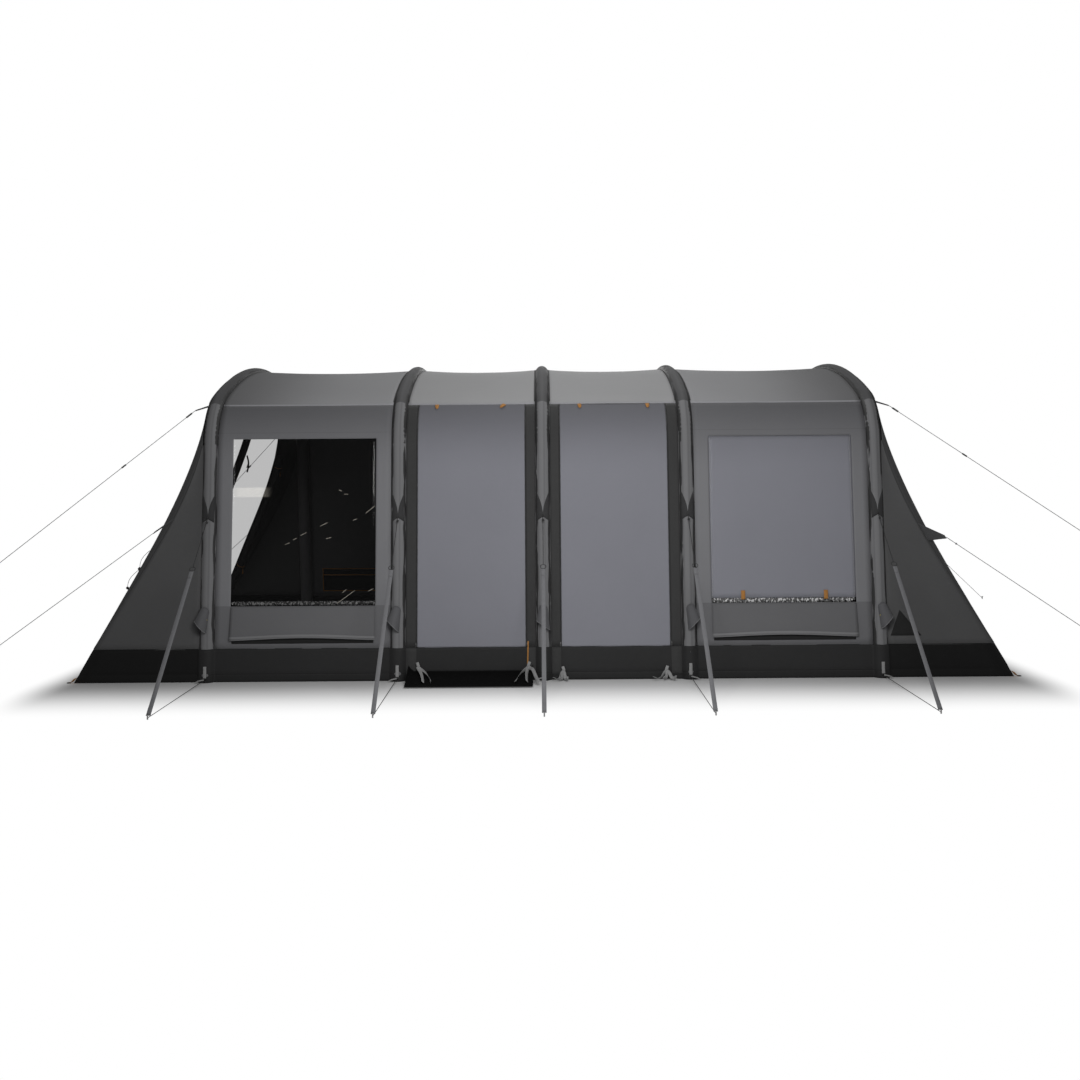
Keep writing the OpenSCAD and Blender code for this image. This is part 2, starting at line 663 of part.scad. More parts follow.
air_beam(arch_x[0]);  // air_beam_1
air_beam(arch_x[1]);  // air_beam_2
air_beam(arch_x[2]);  // air_beam_3
air_beam(arch_x[3]);  // air_beam_4
air_beam(arch_x[4]);  // air_beam_5
beam_sleeve(arch_x[0]);  // beam_sleeve_1
beam_sleeve(arch_x[1]);  // beam_sleeve_2
beam_sleeve(arch_x[2]);  // beam_sleeve_3
beam_sleeve(arch_x[3]);  // beam_sleeve_4
beam_sleeve(arch_x[4]);  // beam_sleeve_5
roof_panel(arch_x[0] + strip_half, arch_x[1] - strip_half);  // roof_panel_1
roof_panel(arch_x[1] + strip_half, arch_x[2] - strip_half);  // roof_panel_2
roof_panel(arch_x[2] + strip_half, arch_x[3] - strip_half);  // roof_panel_3
roof_panel(arch_x[3] + strip_half, arch_x[4] - strip_half);  // roof_panel_4
mirror([1, 0, 0]) window_wall();  // window_wall_left
window_wall();  // window_wall_right
back_wall();
window_panes();
window_blinds();
mirror([1, 0, 0]) vent_flap();  // vent_flap_left
vent_flap();  // vent_flap_right
door_zip_bands();
mirror([1, 0, 0]) door();  // door_left
door();  // door_right
mirror([1, 0, 0]) gores();  // gores_left
gores();  // gores_right
end_wall_left();
end_wall_right();
end_door_rolls();
mud_wall_side();  // mud_wall_front
mirror([0, 1, 0]) mud_wall_side();  // mud_wall_back
mud_wall_ends();
groundsheet();
door_apron();
organiser_pocket();
anchor_patches();
storm_cords();
storm_rings();
storm_webbing();
storm_pegs();
foot_tabs();
foot_buckles();
valves();
valve_hood(arch_x[0], -hood_flare);  // valve_hood_1
valve_hood(arch_x[1], -hood_flare);  // valve_hood_2
valve_hood(arch_x[2], 0);  // valve_hood_3
valve_hood(arch_x[3], hood_flare);  // valve_hood_4
valve_hood(arch_x[4], hood_flare);  // valve_hood_5
guy_lines();
guy_pegs();
guy_slider(0);  // guy_slider_1
guy_slider(1);  // guy_slider_2
mirror([0, 1, 0]) guy_slider(0);  // guy_slider_3
mirror([0, 1, 0]) guy_slider(1);  // guy_slider_4
guy_gussets();
corner_rings();
zip_slider(-slider_x1);  // zip_slider_1
zip_slider(-slider_x0);  // zip_slider_2
zip_slider(slider_x0);  // zip_slider_3
zip_slider(slider_x1);  // zip_slider_4
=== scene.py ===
import math
import bmesh
import bpy
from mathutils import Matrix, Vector, noise


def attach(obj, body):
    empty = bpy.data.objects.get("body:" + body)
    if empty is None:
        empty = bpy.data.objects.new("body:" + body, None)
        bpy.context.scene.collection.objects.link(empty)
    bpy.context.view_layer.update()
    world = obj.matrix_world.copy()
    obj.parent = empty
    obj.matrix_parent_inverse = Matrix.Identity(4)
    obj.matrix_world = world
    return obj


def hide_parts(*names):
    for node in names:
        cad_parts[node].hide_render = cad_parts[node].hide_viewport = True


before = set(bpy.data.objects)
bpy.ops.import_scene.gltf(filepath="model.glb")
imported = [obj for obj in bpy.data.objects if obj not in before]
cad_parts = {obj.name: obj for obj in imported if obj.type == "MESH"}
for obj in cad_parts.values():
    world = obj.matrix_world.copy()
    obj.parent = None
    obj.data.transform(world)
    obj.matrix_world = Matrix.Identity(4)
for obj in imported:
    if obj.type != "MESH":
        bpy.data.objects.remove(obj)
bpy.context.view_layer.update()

# ---- Camera ------------------------------------------------------------------------------------
# It stands level, 7.2 m in front of the tent's front wall and a little above half its height.
# The horizon lies a little above the middle of the frame, and the ground rises slightly to the right.
lens = bpy.data.cameras.new("camera")
lens.sensor_width = 36
lens.lens = 38.33
lens.shift_x = -0.0023
lens.shift_y = -0.067
camera = bpy.data.objects.new("camera", lens)
camera.location = (0, -8.8, 1.334)
camera.rotation_euler = (math.radians(90), math.radians(0.43), 0)
bpy.context.collection.objects.link(camera)
bpy.context.scene.camera = camera

# ---- Guy lines, storm cords and ground cords ---------------------------------------------------
# Braided polyester lines, 4 mm across, each drawn taut by hand. A guy line runs from a flap on the
# tent to a steel peg beyond the end. A storm cord runs from a patch on a leg to the ring of its
# webbing, and a ground cord from the foot of the leg to the same peg.


class Wire:
    """A shader socket that can stand in a sum; calc adds the Math node."""

    def __init__(self, paint, socket):
        self.paint, self.socket = paint, socket

    def calc(self, operation, first, second=0.0):
        return self.paint.node("ShaderNodeMath", {"operation": operation}, {0: first, 1: second})

    def __add__(self, other):
        return self.calc("ADD", self, other)

    def __sub__(self, other):
        return self.calc("SUBTRACT", self, other)

    def __rsub__(self, other):
        return self.calc("SUBTRACT", other, self)

    def __mul__(self, other):
        return self.calc("MULTIPLY", self, other)

    __radd__, __rmul__ = __add__, __mul__

    def size(self):
        """The value without its sign."""
        return self.calc("ABSOLUTE", self)

    def above(self, edge, width):
        """0 below the edge and 1 above it, with a soft step of that width."""
        return self.paint.node("ShaderNodeMapRange", {"interpolation_type": "SMOOTHSTEP"}, {
            "Value": self, "From Min": edge - width / 2, "From Max": edge + width / 2})

    def near(self, middle, half, soft):
        """1 within half of the middle, and 0 further off."""
        return 1 - (self - middle).size().above(half, soft)

    def wave(self, length):
        """A sine from 0 to 1 of that wavelength."""
        return self.calc("SINE", self * (2 * math.pi / length)) * 0.5 + 0.5


class Paint:
    """A finish: one Principled shader and the nodes that feed it."""

    def __init__(self, name, **fixed):
        self.material = bpy.data.materials.new(name)
        self.material.use_nodes = True
        self.tree = self.material.node_tree
        self.shader = self.tree.nodes["Principled BSDF"]
        for socket, value in fixed.items():
            self.shader.inputs[socket.replace("_", " ").title().replace("Ior", "IOR")].default_value = value

    def node(self, kind, settings=None, inputs=None, out=0):
        made = self.tree.nodes.new(kind)
        for key, value in (settings or {}).items():
            setattr(made, key, value)
        for socket, value in (inputs or {}).items():
            if isinstance(value, Wire):
                self.tree.links.new(value.socket, made.inputs[socket])
            elif isinstance(value, tuple) and made.inputs[socket].type == "RGBA":
                made.inputs[socket].default_value = (*value, 1)
            else:
                made.inputs[socket].default_value = value
        return Wire(self, made.outputs[out])

    def feed(self, socket, wire):
        self.tree.links.new(wire.socket, self.shader.inputs[socket])

    def place(self):
        return self.node("ShaderNodeTexCoord", out="Object")

    def parts(self, vector):
        """The three parts of a vector."""
        first = self.node("ShaderNodeSeparateXYZ", None, {0: vector})
        return [Wire(self, socket) for socket in first.socket.node.outputs]

    def cut(self):
        """The piece's own coordinates in metres: across and along."""
        return self.parts(self.node("ShaderNodeTexCoord", out="UV"))[:2]

    def noise(self, scale, where=None, detail=3.0):
        return self.node("ShaderNodeTexNoise", None, {
            "Vector": where or self.place(), "Scale": scale, "Detail": detail})

    def tint(self, mask, first, second):
        """One colour where the mask is 0 and the other where it is 1."""
        return self.node("ShaderNodeMix", {"data_type": "RGBA"}, {0: mask, 6: first, 7: second}, out=2)

    def bump(self, *heights):
        """Each height is a wire from 0 to 1 and its rise in metres."""
        below = None
        for height, rise in heights:
            inputs = {"Height": height, "Distance": rise, "Strength": 1.0}
            if below:
                inputs["Normal"] = below
            below = self.node("ShaderNodeBump", None, inputs)
        self.feed("Normal", below)


def grey(level, blue=1.0):
    """A grey by its level out of 255 on a screen, bluer where blue is above 1."""
    linear = ((level / 255 + 0.055) / 1.055) ** 2.4
    return (linear * (1.5 - blue / 2), linear * (1.4 - blue * 0.4), linear * blue)


def braid(name, dark, light):
    """Braided cord: slanting strands that cross round the cord."""
    paint = Paint(name)
    around, along = paint.cut()
    weave = (around * 1.6 + along).wave(0.0032) * (around * 1.6 - along).wave(0.0032)
    paint.feed("Base Color", paint.tint(weave * 0.7 + paint.noise(60) * 0.5, dark, light))
    paint.feed("Roughness", paint.noise(200) * 0.2 + 0.62)
    paint.bump((weave, 0.0004))
    return paint.material


def finish_piece(shape, name, paint, slot, body="tent", stands_for=(), smooth=True, thick=0.0):
    """Turns a bmesh into a named piece with its finish, riding on a body."""
    mesh = bpy.data.meshes.new(name)
    shape.to_mesh(mesh)
    shape.free()
    mesh.polygons.foreach_set("use_smooth", [smooth] * len(mesh.polygons))
    mesh.materials.append(paint)
    made = bpy.data.objects.new(name, mesh)
    bpy.context.collection.objects.link(made)
    if thick:
        wall = made.modifiers.new("wall", "SOLIDIFY")
        wall.thickness = thick
        wall.offset = -1
    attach(made, body)
    if stands_for:
        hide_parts(*stands_for)
    return made


def grid_shape(xs, ys, place):
    """A grid on the lines xs and ys, its own coordinates kept as the cut, then put in place."""
    shape = bmesh.new()
    bmesh.ops.create_grid(shape, x_segments=len(xs) - 1, y_segments=len(ys) - 1, size=0.5)
    cut = shape.loops.layers.uv.new("cut")
    spots = {vert: (xs[round((vert.co.x + 0.5) * (len(xs) - 1))],
                    ys[round((vert.co.y + 0.5) * (len(ys) - 1))])
             for vert in shape.verts}
    for face in shape.faces:
        for loop in face.loops:
            loop[cut].uv = spots[loop.vert]
    for vert, spot in spots.items():
        vert.co = place(*spot)
    return shape


def recut(shape, place):
    """Gives each corner of a shape new cut coordinates, from its vertex and its old ones."""
    cut = shape.loops.layers.uv[0]
    for face in shape.faces:
        for loop in face.loops:
            loop[cut].uv = place(loop.vert.co, loop[cut].uv)


def close_up(shape, ends=True, gap=1e-6):
    """Joins a shape along its seam, fills its open ends and turns its faces outwards."""
    bmesh.ops.remove_doubles(shape, verts=shape.verts, dist=gap)
    if ends:
        bmesh.ops.holes_fill(shape, edges=[edge for edge in shape.edges if edge.is_boundary], sides=0)
    bmesh.ops.recalc_face_normals(shape, faces=shape.faces)


def even(start, stop, count):
    """Equal steps from start to stop, both counted in."""
    return [start + (stop - start) * k / count for k in range(count + 1)]


def turned(first, second, angle):
    """Two parts of a place, or two directions, turned together by an angle."""
    return (first * math.cos(angle) + second * math.sin(angle),
            second * math.cos(angle) - first * math.sin(angle))


def sweep(path, outline, up, twist=None, grow=lambda t: 1.0):
    """A closed outline, in metres across and up, carried along a path with its rings square to it."""
    path = [Vector(p) for p in path]
    frames, run, last = [], 0.0, len(path) - 1
    for i, point in enumerate(path):
        ahead = (path[min(i + 1, last)] - path[max(i - 1, 0)]).normalized()
        side = ahead.cross(up).normalized() * grow(i / last)
        run += (point - path[max(i - 1, 0)]).length
        over = side.cross(ahead)
        if twist:
            side, over = turned(side, over, twist(i / last))
        frames.append((point, side, over, run))
    girth = [0.0]
    count = len(outline)
    for k in range(count):
        a, b = outline[k], outline[(k + 1) % count]
        girth.append(girth[-1] + math.hypot(b[0] - a[0], b[1] - a[1]))
    shape = grid_shape(list(range(count + 1)), list(range(last + 1)), lambda k, i: frames[i][0]
                       + outline[k % count][0] * frames[i][1] + outline[k % count][1] * frames[i][2])
    recut(shape, lambda co, uv: (girth[round(uv[0])], frames[round(uv[1])][3]))
    close_up(shape)
    return shape


def quarter_turn(t):
    """The twist that lays a strip flat on the front."""
    return math.pi / 2


def ring_outline(radius, sides=8):
    return [(radius * math.cos(2 * math.pi * k / sides), radius * math.sin(2 * math.pi * k / sides))
            for k in range(sides)]


lean = math.radians(5.5)
cord_radius = 0.002
peg_height, peg_radius = 0.026, 0.004
tie_height = peg_height / 3
clearance = 0.0003
inner_arch, outer_arch = 0.920, 2.126
arch_places = (-outer_arch, -inner_arch, 0.0, inner_arch, outer_arch)
sides = {"front": 1, "back": -1}
dark_braid = braid("dark braided cord", grey(30), grey(62))
light_braid = braid("light braided cord", grey(112, 1.03), grey(170, 1.03))


def taut_cord(name, start, stop, paint, slot):
    """A cord drawn straight from one point to another."""
    path = [start.lerp(stop, k / 24) for k in range(25)]
    made = finish_piece(sweep(path, ring_outline(cord_radius), Vector((0.1, 1, 0.2))), name, paint, slot)
    (stop - start).length
    [tuple(p) for p in path]
    return made


guy_tips = ((-2.250, -1.340, 1.720), (2.250, -1.340, 1.720), (-2.450, -1.570, 0.940),
            (2.530, -1.580, 0.880))
guy_pegs = ((-4.100, -2.380), (4.350, -2.600), (-3.600, -2.130), (3.600, -2.460))
guy_runs = {}
for side, way in sides.items():
    for i, (tip, peg) in enumerate(zip(guy_tips, guy_pegs)):
        start = Vector((tip[0], way * tip[1], tip[2]))
        foot = Vector((peg[0], way * peg[1], tie_height))
        pull = (foot - start).normalized()
        short = (peg_radius + clearance - cord_radius * pull.z) / math.hypot(pull.x, pull.y)
        guy_runs[side, i] = (start, pull)
        taut_cord(f"guy_line_{side}_{i + 1}", start + 0.0004 * pull, foot - short * pull,
                                   light_braid, "guy_cord")
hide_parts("guy_lines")

patch_height, patch_length, patch_thick = 1.087, 0.175, 0.0015
foot, storm_reach = 1.6, 1.040
peg_y = -foot - storm_reach
cord_share = 0.29
ring_radius, ring_wire = 0.017, 0.002
line_out = 2 * clearance + patch_thick + cord_radius
line_up = patch_height / math.cos(lean) - patch_length / 3
line_top = (-foot + line_up * math.sin(lean) - line_out * math.cos(lean),
            line_up * math.cos(lean) + line_out * math.sin(lean))
line_foot = (peg_y + peg_radius + 0.001, peg_height / 2)
line_length = math.hypot(line_top[0] - line_foot[0], line_top[1] - line_foot[1])


def storm_point(x, way, run):
    """A point on a storm line, that far down from its patch."""
    share = run / line_length
    return Vector((x, way * (line_top[0] + share * (line_foot[0] - line_top[0])),
                   line_top[1] + share * (line_foot[1] - line_top[1])))


ring_run = cord_share * line_length
ring_out = ring_radius + ring_wire + clearance
mud_front = 0.003 + 2 * clearance
buckle_middle, buckle_thick = 0.019, 0.006
ground_y = -foot - (mud_front
                    + buckle_thick) * math.cos(lean) + buckle_middle * math.sin(lean) - 2 * clearance
for side, way in sides.items():
    for k, x in enumerate(arch_places):
        taut_cord(f"storm_cord_{side}_{k + 1}", storm_point(x, way, 0),
                                     storm_point(x, way, ring_run - ring_out), dark_braid, "dark_cord")
        taut_cord(
            f"ground_cord_{side}_{k + 1}", Vector((x, way * ground_y, buckle_middle)),
            Vector((x, way * (peg_y + peg_radius + clearance), tie_height)), dark_braid, "dark_cord")
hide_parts("storm_cords")

# ---- Studio ------------------------------------------------------------------------------------
# A white floor and backdrop, one wide soft lamp above the front, and weaker ones overhead and at the back.
# The floor near the tent keeps its shadow, and further out it reads as white as the backdrop.
floor_shape = bmesh.new()
bmesh.ops.create_grid(floor_shape, x_segments=1, y_segments=1, size=60)
for vert in floor_shape.verts:
    vert.co.z = -0.0005
floor_mesh = bpy.data.meshes.new("floor")
floor_shape.to_mesh(floor_mesh)
floor_shape.free()
floor_paint = Paint("studio floor", roughness=0.9, specular_ior_level=0.1)
across, away, _ = floor_paint.parts(floor_paint.place())
end_reach, end_fade, side_reach = 2.90, 3.0, 1.62
off_end = across.size() * end_fade - end_fade * end_reach
off_side = away.size() - side_reach
off_end, off_side = off_end.calc("MAXIMUM", off_end), off_side.calc("MAXIMUM", off_side)
squares = off_end * off_end + off_side * off_side
off = squares.calc("SQRT", squares)
seen = floor_paint.node("ShaderNodeLightPath", out="Is Camera Ray")
floor_paint.shader.inputs["Base Color"].default_value = (0.72, 0.72, 0.72, 1)
glow = floor_paint.node("ShaderNodeEmission", None, {"Color": (1.0, 1.0, 1.0), "Strength": 1.0})
blend = floor_paint.node("ShaderNodeMixShader", None, {
    0: seen * off.above(0.50, 0.96), 1: Wire(floor_paint, floor_paint.shader.outputs[0]), 2: glow})
floor_paint.tree.links.new(blend.socket, floor_paint.tree.nodes["Material Output"].inputs["Surface"])
floor_mesh.materials.append(floor_paint.material)
floor = bpy.data.objects.new("floor", floor_mesh)
bpy.context.collection.objects.link(floor)

world = bpy.data.worlds.new("studio")
bpy.context.scene.world = world
world.use_nodes = True
sky = world.node_tree
fill = sky.nodes["Background"]
fill.inputs["Color"].default_value = (1, 1, 1, 1)
fill.inputs["Strength"].default_value = 0.17
white = sky.nodes.new("ShaderNodeBackground")
white.inputs["Color"].default_value = (1, 1, 1, 1)
path = sky.nodes.new("ShaderNodeLightPath")
either = sky.nodes.new("ShaderNodeMath")
either.operation = "MAXIMUM"
both = sky.nodes.new("ShaderNodeMixShader")
sky.links.new(path.outputs["Is Camera Ray"], either.inputs[0])
sky.links.new(path.outputs["Is Transmission Ray"], either.inputs[1])
sky.links.new(either.outputs[0], both.inputs[0])
sky.links.new(fill.outputs[0], both.inputs[1])
sky.links.new(white.outputs[0], both.inputs[2])
sky.links.new(both.outputs[0], sky.nodes["World Output"].inputs["Surface"])
bpy.context.scene.view_settings.view_transform = "Standard"


def soft_lamp(name, place, aim, width, height, power):
    """A soft box that shines from its place at a point."""
    light = bpy.data.lights.new(name, "AREA")
    light.shape, light.size, light.size_y, light.energy = "RECTANGLE", width, height, power
    lamp = bpy.data.objects.new(name, light)
    lamp.location = place
    lamp.rotation_euler = (Vector(aim) - Vector(place)).to_track_quat("-Z", "Y").to_euler()
    lamp.visible_camera = False
    bpy.context.collection.objects.link(lamp)


soft_lamp("front box", (0.25, -5.0, 2.3), (0.25, -1.5, 1.1), 1.8, 1.2, 82)
soft_lamp("top box", (0.25, -0.5, 4.5), (0.25, -0.5, 0), 1.8, 1.5, 33)
soft_lamp("back box", (0, 5.2, 3.0), (0, 1.2, 1.0), 3.0, 2.0, 60)

# ---- Air beams ---------------------------------------------------------------------------------
# Five tubes of rubbery film in a woven jacket, pumped hard. They are hidden in their sleeves, and
# only the low ends show from inside the tent.
beam_paint = Paint("beam jacket", roughness=0.55)
beam_paint.feed("Base Color", beam_paint.tint(beam_paint.noise(35), grey(38), grey(56)))
beam_paint.bump((beam_paint.noise(260), 0.0004))


def dress(node, material):
    """Gives a solid of the frame, whose shape is right as it is, its finish."""
    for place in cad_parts[node].material_slots:
        place.material = material


for k in range(5):
    dress(f"air_beam_{k + 1}", beam_paint.material)

# ---- Beam sleeves ------------------------------------------------------------------------------
# Sleeves of woven polyester sewn between the panels, which the beams fill out to round ribs. They are
# grey on the legs and charcoal over the roof, with a flat welt where the roof joins. The arch is a
# straight leg, a shoulder arc and a flat roof arc, each running smoothly into the next.
crown = 2.1
leg_slope, roof_slope, seam_slope = math.radians(84.5), math.radians(24), math.radians(42.3)
shoulder_r, shoulder_y, shoulder_z = 0.419607, 1.037891, 1.459782
roof_r = 2.971361
leg_run = 1.5 / math.cos(lean)
shoulder_run = shoulder_r * (leg_slope - roof_slope)
roof_run = roof_r * roof_slope
arch_run = 2 * (leg_run + shoulder_run + roof_run)
seam_run = leg_run + shoulder_r * (leg_slope - seam_slope)


def arch_at(run, depth):
    """Y and Z on the arch, at a run from the front foot and a depth below the sleeves' outer line."""
    way = -1
    if run > arch_run / 2:
        run, way = arch_run - run, 1
    if run <= leg_run:
        y = foot - run * math.sin(lean) - depth * math.cos(lean)
        z = run * math.cos(lean) - depth * math.sin(lean)
    elif run <= leg_run + shoulder_run:
        slope = leg_slope - (run - leg_run) / shoulder_r
        y = shoulder_y + (shoulder_r - depth) * math.sin(slope)
        z = shoulder_z + (shoulder_r - depth) * math.cos(slope)
    else:
        slope = roof_slope - (run - leg_run - shoulder_run) / roof_r
        y = (roof_r - depth) * math.sin(slope)
        z = crown - roof_r + (roof_r - depth) * math.cos(slope)
    return way * y, z


def arch_spot(x, run, depth):
    return Vector((x, *arch_at(run, depth)))


def ripple(x, y, z, size):
    """Smooth noise from -1 to 1, the same on every run."""
    return noise.noise(Vector((x, y, z)) * size)


def leg_lines(start, stop, step):
    """Lines along the arch, close on the shoulder where it bends."""
    lines, run = [start], start
    while run < stop - step * 0.6:
        bend = leg_run - 0.05 < min(run, arch_run - run) < leg_run + shoulder_run
        run += min(step, 0.035) if bend else step
        lines.append(run)
    lines[-1] = stop
    return lines


def woven(name, dark, light, roughness=0.78, wrinkle=0.002, wrinkle_size=3.0, extra=None, shine=0.35):
    """Coated polyester: a fine plain weave, faint shade changes and shallow wrinkles along the pull."""
    paint = Paint(name, sheen_weight=0.22 * shine, specular_ior_level=shine)
    across, along = paint.cut()
    pull = paint.node("ShaderNodeMapping", None, {"Vector": paint.place(), "Scale": (1.0, 1.0, 0.35)})
    weave = across.wave(0.0016) * along.wave(0.0016)
    cloud = paint.noise(2.2, detail=2.0)
    shade = paint.tint(cloud * 0.7 + paint.noise(90, detail=2.0) * 0.2 + weave * 0.1, dark, light)
    if extra:
        shade = extra(paint, shade, across, along)
    paint.feed("Base Color", shade)
    paint.feed("Roughness", paint.noise(30) * 0.12 + (roughness - 0.06))
    paint.bump((paint.noise(wrinkle_size, pull), wrinkle), (weave, 0.00012))
    return paint.material


sleeve_r = 0.052
strip_half = 0.0487


def sleeve_shades(paint, shade, across, along):
    """Charcoal over the roof, with painted shadow along both seams and a painted highlight along the crown; on the
    legs painted shade in soft standing folds and along the seams.
    """
    roof = along.near(arch_run / 2, arch_run / 2 - seam_run + 0.004, 0.005)
    seam_at = sleeve_r * math.radians(66)
    # Thin dark lines along both seams: painted shadow where the strip meets the panels.
    edges = across.near(seam_at, 0.0020, 0.0014) + across.near(-seam_at, 0.0020, 0.0014)
    # On the legs, painted shade in two soft standing folds and, more faintly, along the seams.
    folds = across.near(0.011, 0.004, 0.016) * 0.6 + across.near(-0.030, 0.003, 0.012) * 0.5
    shade = paint.tint(folds + edges * 0.7, shade, grey(88, 1.03))
    # A painted highlight along the crown of the charcoal strip over the roof.
    crown_highlight = across.near(0.0, 0.012, 0.03) * 0.6 + paint.noise(3) * 0.3
    strip = paint.tint(crown_highlight, grey(72, 1.02), grey(90, 1.02))
    return paint.tint(roof, shade, paint.tint(edges, strip, grey(46)))


sleeve_paint = woven("sleeve cloth", grey(114, 1.02), grey(124, 1.02), wrinkle=0.0015, extra=sleeve_shades)
welt_paint = woven("welt tape", grey(52), grey(64))
welt_outline = [(0.0035 * math.cos(a), 0.0011 * math.sin(a)) for a in even(0, 2 * math.pi, 8)[:-1]]
around = even(-math.pi, math.pi, 40)
sleeve_lines = leg_lines(0.0, arch_run, 0.06)
for k, x in enumerate(arch_places):
    def sleeve_spot(girth, run, x=x):
        turn = girth / sleeve_r
        tent = 0.0022 * math.cos(3 * turn) * math.exp(-(turn / 1.2) ** 2)
        r = sleeve_r - 0.0012 + tent + 0.0006 * ripple(x + math.sin(turn), run * 2.2, 0.3, 4.0)
        spot = arch_spot(x + r * math.sin(turn), run, sleeve_r - r * math.cos(turn))
        return Vector((spot.x, spot.y, max(spot.z, 0.0004)))

    shape = grid_shape([a * sleeve_r for a in around], sleeve_lines, sleeve_spot)
    close_up(shape, ends=False, gap=1e-5)
    sleeve = finish_piece(shape, f"sleeve_{k + 1}", sleeve_paint, "sleeve",
                          stands_for=(f"beam_sleeve_{k + 1}",), thick=0.0008)
    f"air_beam_{k + 1}"
    for way in (-1, 1):
        path = [arch_spot(x + way * (strip_half + 0.001), run, 0.0296)
                for run in sleeve_lines if seam_run < run < arch_run - seam_run]
        finish_piece(sweep(path, welt_outline, Vector((1, 0, 0)), twist=quarter_turn),
                     f"welt_{k + 1}_{'left' if way < 0 else 'right'}", welt_paint, "zip_band")

# ---- Roof cloths -------------------------------------------------------------------------------
# Four panels of the lighter coated cloth, sewn from seam to seam over the top. Each hangs in a
# shallow trough between its two arches, and ends at the front and back in a hem with two stitch lines.
panel_depth, cloth_thick = 0.030, 0.0007
roof_sag, hem_up = 0.018, 0.0105
hem_outline_sizes = (0.0075, 0.0065, 0.0011)


def flat_outline(half, shoulder, edge):
    """The outline of a flat strip: half its width, the flat's half width and half its thickness."""
    return [(half, 0.0), (shoulder, edge), (-shoulder, edge), (-half, 0.0), (-shoulder, -edge),
            (shoulder, -edge)]


def hem_lines(colour):
    """Two rows of stitches a centimetre inside the ends of the cloth."""
    def add(paint, shade, across, along):
        rows = 0
        for edge, way in ((seam_run, 1), (arch_run - seam_run, -1)):
            for off in (0.006, 0.016):
                rows = along.near(edge + way * off, 0.0009, 0.001) + rows
        return paint.tint(rows * across.wave(0.0045), shade, colour)
    return add


def painted_end_falloff(paint, shade, across, along):
    """Painted shade, darker towards the outer arches where the light falls off, with the stitches of the hems."""
    # Painted shade that grows towards the ends of the tent, standing in for the light falling off there.
    outer = across.size().above(1.75, 0.85) * 0.75
    return hem_lines(grey(112))(paint, paint.tint(outer, shade, grey(92, 1.02)), across, along)


roof_light = woven("roof cloth", grey(152, 1.01), grey(162, 1.01), extra=hem_lines(grey(120)))
roof_shaded_ends = woven("roof cloth at the ends with painted shade", grey(144, 1.02), grey(154, 1.02), extra=painted_end_falloff)
hem_paint = woven("roof hem", grey(150, 1.04), grey(160, 1.04), wrinkle=0.001)
for k in range(4):
    x0, x1 = arch_places[k] + strip_half, arch_places[k + 1] - strip_half

    def roof_spot(x, run, x0=x0, x1=x1, k=k):
        share = (x - x0) / (x1 - x0)
        over = (run - arch_run / 2) / (arch_run / 2 - seam_run)
        sag = roof_sag * 4 * share * (1 - share) * max(0.0, math.cos(over * math.pi / 2)) ** 0.9
        belly = math.sin(math.pi * share)
        wrinkle = 0.0035 * belly * ripple(x * 0.35, run * 1.3, k * 3.1, 2.6)
        wrinkle += 0.0012 * belly * ripple(x, run, k + 7.0, 7.0)
        return arch_spot(x, run, panel_depth + sag + wrinkle)

    shape = grid_shape(even(x0, x1, 36), leg_lines(seam_run, arch_run - seam_run, 0.05), roof_spot)
    roof = finish_piece(shape, f"roof_cloth_{k + 1}", roof_shaded_ends if k in (0, 3) else roof_light,
                        "roof_outer" if k in (0, 3) else "roof_inner", stands_for=(f"roof_panel_{k + 1}",),
                        thick=cloth_thick)
    x1 - x0
    arch_run - 2 * seam_run
    f"beam_sleeve_{k + 1}"
    f"beam_sleeve_{k + 2}"
    for face_side, out, run in (("front", -1, seam_run + hem_up),
                                ("back", 1, arch_run - seam_run - hem_up)):
        path = [roof_spot(x, run) + Vector((0, 0.0016 * out, 0)) for x in even(x0, x1, 24)]
        finish_piece(sweep(path, flat_outline(*hem_outline_sizes), Vector((0, 0.68 * out, 0.73))),
                     f"roof_hem_{face_side}_{k + 1}", hem_paint, "roof_inner")

# ---- Front and back walls ----------------------------------------------------------------------
# Panels of grey coated cloth from the mud wall up to the seam under the roof. The front ones by the
# ends hold the windows: a frame of cloth sewn round the clear film, with the cut edge folded in.
mud_top = 0.2073
wall_foot = mud_top / math.cos(lean)
window_x = (1.065, 1.980)
sill, head = 0.470, 1.530


def run_at_height(z, depth=panel_depth):
    """The run along the front of the arch at which a panel reaches a height."""
    low, high = 0.0, arch_run / 2
    for _ in range(40):
        mid = (low + high) / 2
        low, high = (mid, high) if arch_at(mid, depth)[1] < z else (low, mid)
    return low


def merged_lines(*groups):
    """Grid lines from several groups in order, without those that nearly coincide."""
    lines = sorted(value for group in groups for value in group)
    kept = [lines[0]]
    for value in lines[1:]:
        if value - kept[-1] > 0.002:
            kept.append(value)
    return kept


sill_run, head_run = run_at_height(sill), run_at_height(head)


def painted_shade_at_top(paint, shade, along, dark):
    """Painted shade: darker up towards the seam, with a thin painted shadow just under the roof's hem."""
    # A thin painted shadow along the seam, under the roof's hem.
    under = along.near(seam_run, 0.0012, 0.004)
    # Painted shade growing up towards the seam, where the roof overhangs.
    return paint.tint(along.above(seam_run - 0.22, 0.60) * 0.8 + under * 0.6, shade, dark)


